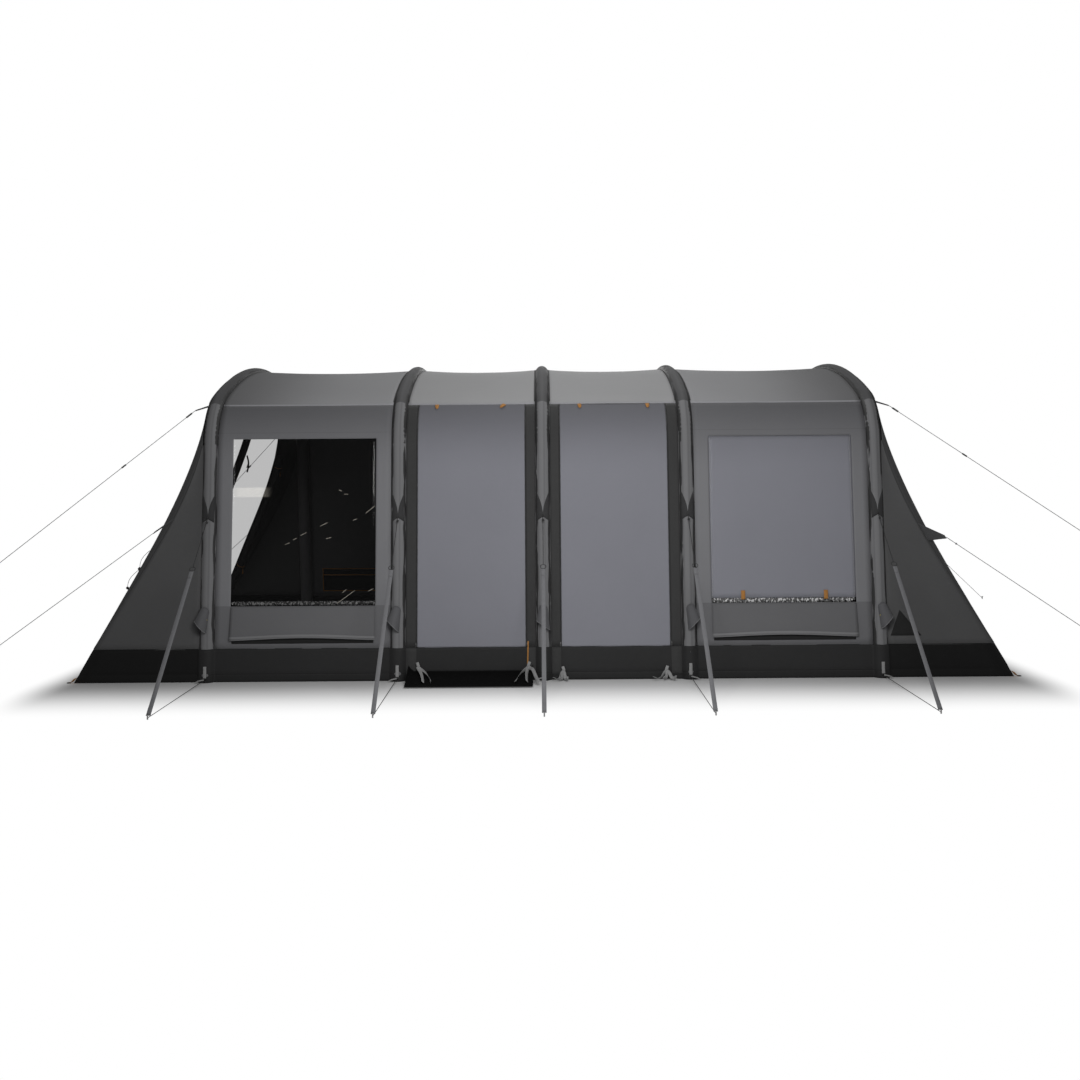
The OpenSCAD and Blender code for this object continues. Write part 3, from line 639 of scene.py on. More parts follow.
def wall_shades(paint, shade, across, along):
    """Darker below the sill's seam, with painted shade at the top under the roof and a line of stitches where the
    header is sewn on.
    """
    shade = paint.tint((1 - along.above(sill_run, 0.004)) * 0.5 + along.near(sill_run, 0.0012, 0.002) * 0.4,
                       shade, grey(88, 1.03))
    shade = paint.tint(along.near(head_run + 0.045, 0.001, 0.002) * 0.6, shade, grey(84))
    # Painted shade at the top, under the roof.
    return painted_shade_at_top(paint, shade, along, grey(84, 1.05))


wall_paint = woven("wall cloth", grey(120, 1.035), grey(130, 1.035), wrinkle=0.0025, extra=wall_shades)
wall_lines = merged_lines(leg_lines(wall_foot, seam_run, 0.05),
                          [run + off for run in (sill_run, head_run) for off in (-0.02, 0.0, 0.02)])


def wall_slack(x, run, x0, x1, seed, belly):
    """How far a wall between x0 and x1 lies behind its arches: a belly, and folds that the seed sets."""
    share = (x - x0) / (x1 - x0)
    rise = (run - wall_foot) / (seam_run - wall_foot)
    full = math.sin(math.pi * share) ** 0.8 * math.sin(math.pi * min(max(rise, 0.0), 1.0)) ** 0.6
    folds = 0.0022 * math.sin(math.pi * share) * ripple(x * 2.0, run * 0.5, seed, 3.5)
    return belly * full + folds


def side_span(way, near, far):
    """The two ends of a stretch on the left or the right, from the lower X to the higher."""
    return sorted((way * near, way * far))


wall_span = (inner_arch + strip_half, outer_arch - strip_half)


def window_spot(x, run, depth):
    """A point on a window wall or at a depth behind it, with the wall's own slack."""
    way = math.copysign(1, x)
    return arch_spot(x, run, depth + wall_slack(x, run, *side_span(way, *wall_span), way * 2.0, 0.004))


for side, way in (("left", -1), ("right", 1)):
    x0, x1 = side_span(way, *wall_span)
    hole = side_span(way, *window_x)
    xs = merged_lines(even(x0, x1, 30), [edge + off for edge in hole for off in (-0.012, 0.0, 0.012)])
    xs = [value for value in xs if not any(0 < abs(value - edge) < 0.004 for edge in hole)]
    xs = merged_lines(xs, hole)
    shape = grid_shape(xs, wall_lines, lambda x, run: window_spot(x, run, panel_depth))
    cut = shape.loops.layers.uv[0]
    gone = []
    for face in shape.faces:
        across, along = (sum(loop[cut].uv[n] for loop in face.loops) / 4 for n in (0, 1))
        if hole[0] < across < hole[1] and sill_run < along < head_run:
            gone.append(face)
    bmesh.ops.delete(shape, geom=gone, context="FACES")
    wall = finish_piece(shape, f"window_wall_cloth_{side}", wall_paint, "wall_cloth",
                        stands_for=(f"window_wall_{side}",), thick=0.0015)
    area = (x1 - x0) * (seam_run - wall_foot) - (hole[1] - hole[0]) * (head_run - sill_run)
    x1 - x0
    ["beam_sleeve_1", "beam_sleeve_2"] if way < 0 else ["beam_sleeve_4", "beam_sleeve_5"]

back_belly, back_lap = 0.014, 0.0025
back_paint = woven("back wall cloth", grey(100, 1.02), grey(110, 1.02), wrinkle=0.0025)
for k in range(4):
    x0, x1 = arch_places[k] + strip_half - back_lap, arch_places[k + 1] - strip_half + back_lap

    def back_wall_spot(x, run, x0=x0, x1=x1, k=k):
        foot_in = 0.0035 if arch_run - run < wall_foot else 0.0
        slack = wall_slack(x, arch_run - run, x0, x1, k + 11.0, back_belly)
        return arch_spot(x, run, panel_depth + foot_in + slack)

    back_lines = [arch_run - run for run in leg_lines(wall_foot - 0.008, seam_run, 0.05)][::-1]
    shape = grid_shape(even(x0, x1, 24), back_lines, back_wall_spot)
    wall = finish_piece(shape, f"back_wall_cloth_{k + 1}", back_paint, "wall_cloth",
                        stands_for=("back_wall",) if k == 0 else (), thick=cloth_thick)
    x1 - x0
    f"beam_sleeve_{k + 1}"
    f"beam_sleeve_{k + 2}"

# ---- Windows -----------------------------------------------------------------------------------
# Film behind each frame, smoke-tinted on the left and a little slack. Painted glints along slanting creases
# and a painted reflection band stand in for light on the left film. The left blind is let down and lies
# gathered at the sill, the right one is drawn up behind it.
# The creases where glints are painted: the ends of each, X and Z on the left film.
film_glint_creases = (
    (-1.307, 0.484, -1.197, 0.564), (-1.275, 0.550, -1.248, 0.572), (-1.110, 0.560, -1.078, 0.575),
    (-1.643, 0.856, -1.612, 0.868), (-1.592, 0.885, -1.569, 0.897), (-1.544, 0.913, -1.506, 0.933),
    (-1.421, 0.971, -1.373, 0.994), (-1.382, 0.892, -1.349, 0.900), (-1.303, 1.201, -1.283, 1.194),
    (-1.268, 1.174, -1.243, 1.174), (-1.211, 1.007, -1.186, 1.016), (-1.129, 1.052, -1.072, 1.098))


def film(name, veil):
    """Clear film that hides that share of what lies behind it, with painted glints along small creases and a painted
    reflection band.
    """
    paint = Paint(name, ior=1.45, specular_ior_level=0.4)
    x, _, z = paint.parts(paint.place())
    # Painted glints: short warm dashes along the creases, brighter and less clear than the film.
    there = 0.0
    for x0, z0, x1, z1 in film_glint_creases:
        length = math.hypot(x1 - x0, z1 - z0)
        across, up = (x1 - x0) / length, (z1 - z0) / length
        along, off = (x - x0) * across + (z - z0) * up, (z - z0) * across - (x - x0) * up
        there = along.near(length / 2, length / 2, 0.008) * off.near(0.0, 0.0010, 0.002) + there
    # A painted reflection band across the left film, warm and mottled.
    glare = z.near(1.190, 0.030, 0.010) * x.near(-1.870, 0.100, 0.09) * (paint.noise(60) * 0.8 + 0.6)
    paint.feed("Base Color", paint.tint(there + glare * 0.75, grey(14), (0.75, 0.70, 0.60)))
    paint.feed("Alpha", there * 0.6 + veil)
    paint.feed("Roughness", paint.noise(8) * 0.08 + 0.04)
    paint.bump((paint.noise(5), 0.004))
    return paint.material


pane_depth, pane_lap = panel_depth + 0.003 + clearance, 0.012
for side, way, veil in (("left", -1, 0.30), ("right", 1, 0.05)):
    edges = side_span(way, window_x[0] - pane_lap, window_x[1] + pane_lap)
    shape = grid_shape(
        even(*edges, 24), even(sill_run - pane_lap, head_run + pane_lap, 26),
        lambda x, run: window_spot(x, run, pane_depth + 0.0010 * ripple(x, run, way * 5.0, 5.0)))
    pane = finish_piece(shape, f"window_film_{side}", film(f"{side} film", veil), "window_pane",
                        stands_for=("window_panes",) if way < 0 else (), thick=0.0003)
    edges[1] - edges[0]
    head_run - sill_run + 2 * pane_lap


def webbing(name, dark, light, pitch=(0.0026, 0.0021), lengthwise=0.6, grain=60, rise=0.0006):
    """Ribbed webbing: the pitch of its ribs along and across, and the share of those along."""
    paint = Paint(name, sheen_weight=0.1)
    across, along = paint.cut()
    ribs = along.wave(pitch[0]) * lengthwise + across.wave(pitch[1]) * (1 - lengthwise)
    paint.feed("Base Color", paint.tint(ribs * 0.6 + paint.noise(grain) * 0.4, dark, light))
    paint.feed("Roughness", paint.noise(90) * 0.2 + 0.6)
    paint.bump((ribs, rise))
    return paint.material


orange_web = webbing("orange webbing", (0.33, 0.135, 0.022), (0.52, 0.24, 0.055),
                     pitch=(0.0024, 0.0018), lengthwise=0.5, grain=70, rise=0.0005)


def strap(name, path, width, thick, up, material, slot, twist=None, grow=lambda t: 1.0):
    """A flat strap with rounded edges along a path; its face lies square to up."""
    outline = flat_outline(width / 2, (width - thick) / 2, thick / 2)
    return finish_piece(sweep(path, outline, up, twist=twist, grow=grow), name, material, slot)


def orange_strap(*given, **more):
    """A strap of the orange webbing."""
    return strap(*given, orange_web, "orange_web", **more)


def blind_edge(paint, shade, across, along):
    """A pale zigzag line of stitches round the blind, with painted shade darker towards its top."""
    inner, outer = (across.near(edge, 0.0018, 0.001) for edge in (window_x[0] + 0.008, window_x[1] - 0.008))
    # Painted shade, darker towards the top of the blind.
    shade = painted_shade_at_top(paint, shade, along, grey(110, 1.08))
    return paint.tint((inner + outer) * along.wave(0.02) * 0.6, shade, grey(190))


blind_paint = woven("blind cloth", grey(146, 1.09), grey(156, 1.09), wrinkle=0.004, extra=blind_edge)
blind_depth = pane_depth + 0.0013
edges = (window_x[0] - 0.006, window_x[1] + 0.006)
shape = grid_shape(
    even(*edges, 30), even(sill_run + 0.03, head_run + 0.006, 30),
    lambda x, run: window_spot(x, run, blind_depth + 0.0018 + 0.0008 * ripple(x * 0.6, run, 2.0, 4.0)))
blind = finish_piece(shape, "blind_drawn", blind_paint, "blind", stands_for=("window_blinds",), thick=0.0006)
edges[1] - edges[0]
head_run - sill_run - 0.024

gather_r = 0.016
gather_paint = Paint("gathered film", roughness=0.25, specular_ior_level=0.6)
upright = gather_paint.node("ShaderNodeMapping", None, {"Vector": gather_paint.place(), "Scale": (1.0, 1.0, 0.5)})
creases = gather_paint.noise(120.0, upright, detail=4.0)
# The crests of the crumpled film are painted near white: painted highlights where they catch the light.
gather_paint.feed("Base Color", gather_paint.tint(creases.above(0.54, 0.08), grey(88), grey(238)))
gather_paint.feed("Roughness", creases * 0.4 + 0.15)
gather_paint.bump((creases, 0.006))
for side, way in (("left", -1), ("right", 1)):
    edges = side_span(way, window_x[0] + 0.004, window_x[1] - 0.004)

    def gather_spot(x, turn, way=way):
        a = turn / gather_r
        crumple = 0.0032 * ripple(x * 3.2, a * 0.6, way * 9.0, 22.0) + 0.0016 * ripple(x, a, way * 4.0, 70.0)
        r = 0.0135 + crumple
        height = 1.35 if way > 0 else 1.0
        return window_spot(x, sill_run + gather_r + r * math.cos(a) * height,
                           blind_depth + 0.0165 + r * math.sin(a) * 0.9)

    shape = grid_shape(even(*edges, 260), even(-gather_r * math.pi, gather_r * math.pi, 14), gather_spot)
    close_up(shape)
    finish_piece(shape, f"blind_gather_{side}", gather_paint.material, "blind")
tab_low, tab_length = 0.494, 0.056
for n, x in enumerate((1.264, 1.788)):
    path = [arch_spot(x, (tab_low + tab_length * t) / math.cos(lean),
                      panel_depth - 0.0012 - 0.003 * math.sin(math.pi * t)) for t in even(0, 1, 8)]
    orange_strap(f"blind_tab_{n + 1}", path, 0.026, 0.0014, Vector((0, 1, 0)))

# ---- Vent flaps --------------------------------------------------------------------------------
# Under each window a flap of wall cloth shades a low vent of black mesh. It is sewn on along the
# sill and hinges there, and a stiffened hem keeps its lower edge out from the wall.
mesh_paint = Paint("black mesh", roughness=0.7)
across, along = mesh_paint.cut()
holes = (across.wave(0.0022) * along.wave(0.0022)).above(0.45, 0.2)
mesh_paint.feed("Base Color", mesh_paint.tint(holes, grey(30), grey(10)))
mesh_paint.bump((holes, 0.0006))
flap_top, flap_length = (sill - clearance) / math.cos(lean), 0.205
flap_paint = woven("flap cloth", grey(98, 1.03), grey(108, 1.03), wrinkle=0.0015)
lip_paint = woven("flap hem", grey(118, 1.02), grey(132, 1.02), wrinkle=0.001)
vent_low, vent_high = run_at_height(0.236), sill_run - 0.02
for side, way in (("left", -1), ("right", 1)):
    edges = side_span(way, *window_x)
    body = f"vent_flap_{side}"

    def flap_spot(x, down, edges=edges, way=way):
        share = (x - edges[0]) / (edges[1] - edges[0])
        t = down / flap_length
        arc = 1 - 0.075 * math.sin(math.pi * share) ** 1.4 * t
        bulge = 0.009 * math.sin(math.pi * share) ** 0.7 * math.sin(math.pi * min(t, 1.0) * 0.75)
        folds = 0.0018 * ripple(x * 1.8, down, way * 3.0, 5.0) * math.sin(math.pi * share) * min(1.0, t * 4)
        return arch_spot(x, flap_top - down * arc,
                         panel_depth - 0.0012 - down * math.sin(lean) - bulge - folds)

    shape = grid_shape(even(*edges, 48), even(0.0, flap_length, 14), flap_spot)
    flap = finish_piece(shape, f"vent_flap_cloth_{side}", flap_paint, "vent_flap", body=body,
                        stands_for=(f"vent_flap_{side}",), thick=0.0009)
    edges[1] - edges[0]
    path = [flap_spot(x, flap_length - 0.005) for x in even(*edges, 48)]
    finish_piece(sweep(path, flat_outline(0.0125, 0.011, 0.0015), Vector((0, -0.1, 1)), twist=quarter_turn),
                 f"vent_flap_hem_{side}", lip_paint, "vent_flap", body=body)
    shape = grid_shape(even(edges[0] + 0.01, edges[1] - 0.01, 24), even(vent_low, vent_high, 8),
                       lambda x, run: arch_spot(x, run, panel_depth - 0.0011))
    mesh = finish_piece(shape, f"vent_mesh_{side}", mesh_paint.material, "vent_flap", thick=0.0004)
    edges[1] - edges[0] - 0.02
    vent_high - vent_low

# ---- Doors -------------------------------------------------------------------------------------
# Two leaves of grey cloth in the middle bays. A coiled zip runs up each long edge, on a charcoal
# band beside the sleeve, and four orange loops at the seam hold the leaves when they are rolled up.
door_x = (0.112, 0.800)


# Painted shade on the doors, darker up towards the seam under the roof.
def door_painted_shade(paint, shade, across, along):
    return painted_shade_at_top(paint, shade, along, grey(88, 1.07))


door_paint = woven("door cloth", grey(130, 1.09), grey(140, 1.09), wrinkle=0.003, extra=door_painted_shade)
teeth_outline = [(0.0034, 0.0), (0.0024, 0.0016), (-0.0024, 0.0016),
                 (-0.0034, 0.0), (-0.0024, -0.0010), (0.0024, -0.0010)]
band_paint = woven("zip band cloth", grey(50, 1.0), grey(60, 1.0), wrinkle=0.001)
teeth_paint = Paint("zip coil", roughness=0.42)
across, along = teeth_paint.cut()
coil = (along + across * 0.4).wave(0.0021)
teeth_paint.feed("Base Color", teeth_paint.tint(coil, grey(22), grey(58)))
teeth_paint.bump((coil, 0.0005))
door_foot = (mud_top + clearance) / math.cos(lean)
door_lines = leg_lines(door_foot, seam_run, 0.045)
guard_low, guard_length = 0.034, 0.172
tie_length, tie_width = 0.044, 0.025


for side, way in (("left", -1), ("right", 1)):
    x0, x1 = side_span(way, *door_x)
    beside = "beam_sleeve_2" if way < 0 else "beam_sleeve_4"

    def door_spot(x, run, x0=x0, x1=x1, way=way):
        share = (x - x0) / (x1 - x0)
        rise = (run - door_foot) / (seam_run - door_foot)
        full = math.sin(math.pi * share) ** 0.7 * math.sin(math.pi * rise) ** 0.5
        slack = 0.0035 * full * ripple(x * 1.1, run * 0.35, way * 1.7, 3.6)
        slack += 0.0012 * full * ripple(x, run, way * 6.0, 9.0)
        pucker = 0.0012 * math.sin(run * 95 + 2.0 * ripple(x, run, 1.0, 3.0))
        pucker *= math.exp(-min(x - x0, x1 - x) / 0.022)
        return arch_spot(x, run, panel_depth + 0.006 * full + slack + pucker)

    xs = merged_lines(even(x0, x1, 26), [x0 + 0.010, x0 + 0.022, x1 - 0.022, x1 - 0.010])
    door = finish_piece(grid_shape(xs, leg_lines(door_foot, seam_run, 0.012), door_spot),
                        f"door_cloth_{side}", door_paint, "door_cloth", body=f"door_{side}",
                        stands_for=(f"door_{side}",), thick=cloth_thick)
    x1 - x0
    for which, near, outer in (("inner", door_x[0], strip_half),
                               ("outer", door_x[1], inner_arch - strip_half)):
        near, outer = way * near, way * outer
        path = [arch_spot(near + (outer - near) * 0.02, run, panel_depth - 0.0006) for run in door_lines]
        finish_piece(sweep(path, teeth_outline, Vector((1, 0, 0)), twist=quarter_turn),
                     f"zip_{side}_{which}", teeth_paint.material, "zip_band")
        ends = sorted((outer, near + (outer - near) * 0.05))
        band = finish_piece(grid_shape(even(*ends, 6), door_lines,
                                       lambda x, run: arch_spot(x, run, panel_depth + 0.0012)),
                            f"zip_band_{side}_{which}", band_paint, "zip_band",
                            stands_for=("door_zip_bands",) if (way, which) == (-1, "inner") else (),
                            thick=0.0012)
        low = [arch_spot((outer + near) / 2, guard_low + guard_length * t, panel_depth - 0.0022)
               for t in even(0, 1, 8)]
        strap(f"zip_guard_{side}_{which}", low, abs(outer - near) - 0.006, 0.0012, Vector((0, 1, 0)),
              band_paint, "zip_band")
        ends[1] - ends[0]
    for k, (x, slant) in enumerate(((0.242, -0.030 if way < 0 else 0.004), (0.684, 0.002))):
        path = [arch_spot(way * x + slant * t, seam_run - 0.002 - (tie_length - abs(slant) * 0.3) * t,
                          panel_depth - 0.0035 - 0.004 * math.sin(math.pi * t)) for t in even(0, 1, 12)]
        orange_strap(f"door_tie_{side}_{k + 1}", path, tie_width, 0.0030, Vector((0, -0.7, 0.7)),
                     grow=lambda t: math.sqrt(max(1 - t ** 4, 0.02)))

# ---- Zip sliders -------------------------------------------------------------------------------
# One die-cast slider on each door zip, at rest at the foot of the zip. Each is a rounded body that
# narrows upwards, with a small wire loop as its pull.


def cast(name, dark, light, grain, rough, **fixed):
    """Cast metal or moulded plastic, faintly mottled: the grains of its colour and its roughness."""
    paint = Paint(name, **fixed)
    paint.feed("Base Color", paint.tint(paint.noise(grain[0]), dark, light))
    paint.feed("Roughness", paint.noise(grain[1]) * rough[0] + rough[1])
    return paint.material


slider_metal = cast("blackened slider", grey(70), grey(104), (300, 500), (0.25, 0.3), metallic=0.7)
slider_size = (0.011, 0.026, 0.006)
slider_x = (-0.8066, -0.1054, 0.1054, 0.8066)


def rounded_block(size, round_off):
    """A block with all its edges rounded."""
    shape = bmesh.new()
    bmesh.ops.create_cube(shape, size=1.0)
    bmesh.ops.scale(shape, vec=size, verts=shape.verts)
    bmesh.ops.bevel(shape, geom=shape.edges[:], offset=round_off, segments=3, profile=0.5,
                    affect="EDGES", material=-1)
    return shape


def leg_turned(shape, x, run, depth, turn=0.0):
    """Sets a piece on a leg: its X along the tent, its Y into the tent, its Z up the leg."""
    for vert in shape.verts:
        across, into, up = vert.co
        across, up = turned(across, up, turn)
        vert.co = arch_spot(x + across, run + up, depth + into)
    return shape


for k, x in enumerate(slider_x):
    low = (mud_top + 0.003) / math.cos(lean)
    body = rounded_block((slider_size[0], slider_size[2] * 0.7, slider_size[1]), 0.0018)
    for vert in body.verts:
        if vert.co.z > 0:
            vert.co.x *= 1 - 0.35 * vert.co.z / (slider_size[1] / 2)
    leg_turned(body, x, low + slider_size[1] / 2, panel_depth - clearance - 0.0025)
    finish_piece(body, f"zip_slider_body_{k + 1}", slider_metal, "zip_slider", body=f"zip_slider_{k + 1}",
                 stands_for=(f"zip_slider_{k + 1}",))
    loop = [arch_spot(x + 0.0022 * math.sin(2 * math.pi * t),
                      low + 0.016 - 0.011 * (1 - math.cos(2 * math.pi * t)),
                      panel_depth - 0.0068 - 0.0006 * math.sin(math.pi * t)) for t in even(0, 0.96, 16)]
    finish_piece(sweep(loop, ring_outline(0.0008), Vector((0, 1, 0.1))), f"zip_pull_{k + 1}", slider_metal,
                 "zip_slider", body=f"zip_slider_{k + 1}")

# ---- Sloping ends ------------------------------------------------------------------------------
# Each end is one dark panel from the outer arch down to the ground line, drawn hollow by the pull of
# the pegs, with a gore on each side. The left end has two doorways with a strip between them and
# their leaves rolled away to the sides.
base_half, end_hollow = 2.955, 0.070
end_depth, end_in = 0.0335, 0.00321
end_x = outer_arch + strip_half + 0.0005 + end_in
end_foot = mud_top - 0.006
gore_paint = woven("gore cloth", grey(80, 1.01), grey(88, 1.01), wrinkle=0.003)
end_paint = woven("end cloth", grey(70, 1.01), grey(78, 1.01), wrinkle=0.003)
arch_lean = Vector((0.0, *arch_at(leg_run, end_depth)))
end_ratio = (foot - end_depth / math.cos(lean)) / -arch_lean.y


def run_at_slope(slope):
    """The run along the front half of the arch at a slope from the crown."""
    if slope >= roof_slope:
        return leg_run + shoulder_r * (leg_slope - slope)
    return leg_run + shoulder_run + roof_r * (roof_slope - slope)


def end_spot(slope, height, back=0.0):
    """A point on the right end's outer face, above a slope on the arch and at a height."""
    top = arch_at(run_at_slope(abs(slope)), end_depth)
    v = height / top[1]
    x = base_half + v * (end_x - base_half) - 27 / 4 * end_hollow * v * v * (1 - v) - back
    return Vector((x, (top[0] if slope >= 0 else -top[0]) * (end_ratio + v * (1 - end_ratio)), height))


def mirrored(spot, way=1, front=1):
    """The same point on the other end where way is -1, and on the other side where front is -1."""
    return Vector((way * spot.x, front * spot.y, spot.z))


end_slopes = [leg_slope * (1 - k / 4) + math.radians(60) * k / 4 for k in range(4)]
end_slopes += even(math.radians(60), 0.0, 22)
end_slopes += [-slope for slope in end_slopes[-2::-1]]
doorway_low, doorway_high = 0.250, 1.740
doorway = [(1.420, doorway_low), (1.352, 0.430), (1.230, 0.790), (1.150, 1.130),
           (1.060, 1.440), (0.990, 1.590), (0.850, 1.700)]
openings = [[(strip, doorway_low)] + [(way * y, z) for y, z in doorway] + [(strip, doorway_high)]
            for way, strip in ((-1, 0.050), (1, 0.270))]
gore_foot, gore_tip = mud_top, arch_lean.z


def inside(point, corners):
    """Whether a point lies inside an outline."""
    y, z = point
    return sum((a[1] > z) != (b[1] > z) and y < a[0] + (z - a[1]) / (b[1] - a[1]) * (b[0] - a[0])
               for a, b in zip(corners, corners[1:] + corners[:1])) % 2 == 1


for side, way in (("left", -1), ("right", 1)):
    def end_cloth_spot(slope, share, way=way):
        top = arch_at(run_at_slope(abs(slope)), end_depth)[1]
        height = end_foot + share * (top - end_foot)
        spot = end_spot(slope, height)
        full = math.sin(math.pi * share) * math.cos(slope / leg_slope * math.pi / 2) ** 0.5
        spot.x -= 0.006 * full * ripple(spot.y * 0.8, height * 0.4, way * 2.0, 2.4)
        spot.x -= 0.002 * full * ripple(spot.y, height, 3.0, 7.0)
        return mirrored(spot, way)

    shape = grid_shape(end_slopes, even(0.0, 1.0, 30), end_cloth_spot)
    recut(shape, lambda co, uv: (co.y, co.z))
    if way > 0:
        bmesh.ops.reverse_faces(shape, faces=shape.faces)
    else:
        for corners in openings:
            for a, b in zip(corners, corners[1:] + corners[:1]):
                bmesh.ops.bisect_plane(shape, geom=shape.verts[:] + shape.edges[:] + shape.faces[:], dist=1e-5,
                                       plane_co=(0, *a), plane_no=(0, b[1] - a[1], a[0] - b[0]))
        gone = [face for face in shape.faces
                if any(inside(face.calc_center_median()[1:], corners) for corners in openings)]
        bmesh.ops.delete(shape, geom=gone, context="FACES")
    area = sum(face.calc_area() for face in shape.faces)
    end = finish_piece(shape, f"end_cloth_{side}", end_paint, "gore_cloth",
                       stands_for=(f"end_wall_{side}",), thick=cloth_thick)
    beside = f"beam_sleeve_{1 if way < 0 else 5}"

    for face_side, front in sides.items():
        def gore_spot(share, height, way=way, front=front):
            inner = outer_arch + strip_half - 0.003
            outer = end_spot(leg_slope, height).x
            x = inner + share * (outer - inner)
            rise = max(height - gore_foot, 0.0) / (gore_tip - gore_foot)
            full = math.sin(math.pi * share) * math.sin(math.pi * rise) ** 0.6
            folds = 0.0025 * full * ripple(x * 1.2, height * 0.6, way * 5.0 + front, 3.2)
            depth = panel_depth + 0.006 * full + folds
            y = -foot + height * math.tan(lean) + depth / math.cos(lean)
            return Vector((way * x, front * y, height))

        shape = grid_shape(even(0.0, 1.0, 16), even(end_foot, gore_tip - 0.004, 30), gore_spot)
        recut(shape, lambda co, uv: (co.x, co.z))
        if way * front < 0:
            bmesh.ops.reverse_faces(shape, faces=shape.faces)
        area = sum(face.calc_area() for face in shape.faces)
        gore = finish_piece(shape, f"gore_cloth_{side}_{face_side}", gore_paint, "gore_cloth",
                            stands_for=(f"gores_{side}",) if front > 0 else (), thick=cloth_thick)
        edge = [mirrored(end_spot(leg_slope, height) + Vector((0.0005, -0.0008, 0)), way, front)
                for height in even(0.212, gore_tip - 0.006, 30)]
        finish_piece(sweep(edge, ring_outline(0.0032, 8), Vector((0, 1, 0))),
                     f"end_piping_{side}_{face_side}", welt_paint, "zip_band")
        if (way, front) == (1, 1):
            def label_spot(u, v):
                height = 0.258 + 0.157 * v
                x = (2.191 + 0.195 * u) * (1 - v) + (2.252 + 0.004 * u) * v
                inner = outer_arch + strip_half
                share = (x - inner) / (end_spot(leg_slope, height).x - inner)
                return gore_spot(share, height) - Vector((0, 0.0018, 0))

            finish_piece(grid_shape(even(0, 1, 8), even(0, 1, 8), label_spot), "blank_label",
                         woven("label cloth", grey(26), grey(34), wrinkle=0.001), "gore_cloth", thick=0.0008)

# ---- Rolled leaves of the left end -------------------------------------------------------------
# The leaves of the two doorways are rolled up along their outer sides. Each roll is loose cloth with
# its edge showing, held by two orange ties with hanging tails.
roll_paint = woven("rolled cloth", grey(40), grey(50), wrinkle=0.004, wrinkle_size=14.0)
roll_r, roll_low, roll_high = 0.030, 0.300, 1.450


def roll_outline():
    """The outline of a loose roll: a lumpy round with the last edge of the cloth lapped on it."""
    points = []
    for k in range(28):
        a = 2 * math.pi * k / 28
        r = roll_r * (0.90 + 0.05 * math.sin(3 * a + 1.0) + 0.05 * math.cos(2 * a))
        if k > 23:
            r += 0.0022 * (k - 23) / 4
        points.append((r * math.cos(a), r * math.sin(a)))
    return points


roll_slopes = ((roll_low, 47), (0.430, 40), (0.790, 23.8), (1.130, 22.9), (roll_high, 21.3))


def roll_slope(height):
    """The slope on the arch below which the roll lies at a height."""
    for (z0, a0), (z1, a1) in zip(roll_slopes, roll_slopes[1:]):
        if height <= z1 + 1e-9:
            return math.radians(a0 + (a1 - a0) * (height - z0) / (z1 - z0))


for name, front in sides.items():
    path = [mirrored(end_spot(roll_slope(height), height, end_in + (roll_r + 0.0006) / 0.878), -1, front)
            for height in even(roll_low, roll_high, 24)]
    shape = sweep(path, roll_outline(), Vector((0, 1, 0)))
    for vert in shape.verts:
        near = min(path, key=lambda p: (p - vert.co).length)
        vert.co = near + (vert.co - near) * (0.97 + 0.05 * ripple(vert.co.x, vert.co.y, vert.co.z, 9.0))
    roll = finish_piece(shape, f"rolled_leaf_{name}", roll_paint, "rolled_leaf",
                        stands_for=("end_door_rolls",) if name == "front" else ())
    for t in (4, 22):
        centre, ahead = path[t], (path[t + 1] - path[t - 1]).normalized()
        side_way = ahead.cross(Vector((1, 0, 0))).normalized()
        over = side_way.cross(ahead)
        hoop = [centre + (roll_r * 0.985) * (math.cos(a) * side_way + math.sin(a) * over)
                for a in even(0, 1.97 * math.pi, 30)]
        orange_strap(f"leaf_tie_{name}_{t}", hoop, 0.014, 0.0014, ahead)
        tail = [centre + Vector((0.010 * math.sin(2 * s), -front * (roll_r + 0.001), -0.004 - 0.075 * s))
                for s in even(0, 1, 8)]
        orange_strap(f"leaf_tail_{name}_{t}", tail, 0.014, 0.0014, Vector((0.4, 1, 0)))
tail_top = 1.447
for k, (out, low) in enumerate(((0.0, 1.315), (0.012, 1.335), (-0.010, 1.35))):
    top = end_spot(math.radians(-7.5), tail_top, end_in)
    tail = [Vector((-top.x + 0.004 + 0.012 * math.sin(math.pi * s), 0.262 + out * s,
                    tail_top + (low - tail_top) * s)) for s in even(0, 1, 10)]
    strap(f"strip_tail_{k + 1}", tail, 0.009 if k else 0.014, 0.0015, Vector((0.3, 1, 0)),
          orange_web if k == 1 else roll_paint, "orange_web")

# ---- Mud walls, groundsheet and apron ----------------------------------------------------------
# A band of heavy dark coated cloth round the foot, sewn to the walls over the feet of the sleeves,
# with a hem crease near the ground. It carries on inside as the floor. A black apron of the same
# cloth slopes out on the ground before the left door.
crease_up = 0.048


def mud_shades(paint, shade, across, along):
    """Blacker beyond the outer arches, with a dark hem crease near the ground."""
    shade = paint.tint(across.size().above(2.17, 0.02), shade, grey(17))
    hem = along.near(crease_up, 0.0015, 0.002) + (1 - along.above(0.042, 0.004)) * 0.4
    return paint.tint(hem, shade, grey(18))


mud_paint = woven("mud wall cloth", grey(38, 1.01), grey(46, 1.01), roughness=0.7, wrinkle=0.004,
                  wrinkle_size=6.0, extra=mud_shades, shine=0.25)
mud_thick = 0.0014


def mud_crease(height):
    """How far the hem's crease lies in, at a height."""
    return 0.004 * math.exp(-((height - crease_up) / 0.010) ** 2)


def mud_depth(x):
    """Depth of the mud wall's outer face, which bulges over the sleeves' feet."""
    depth = panel_depth
    for arch in arch_places:
        out = 0.0540 ** 2 - (x - arch) ** 2
        if out > 0:
            depth = min(depth, sleeve_r - math.sqrt(out))
    return depth


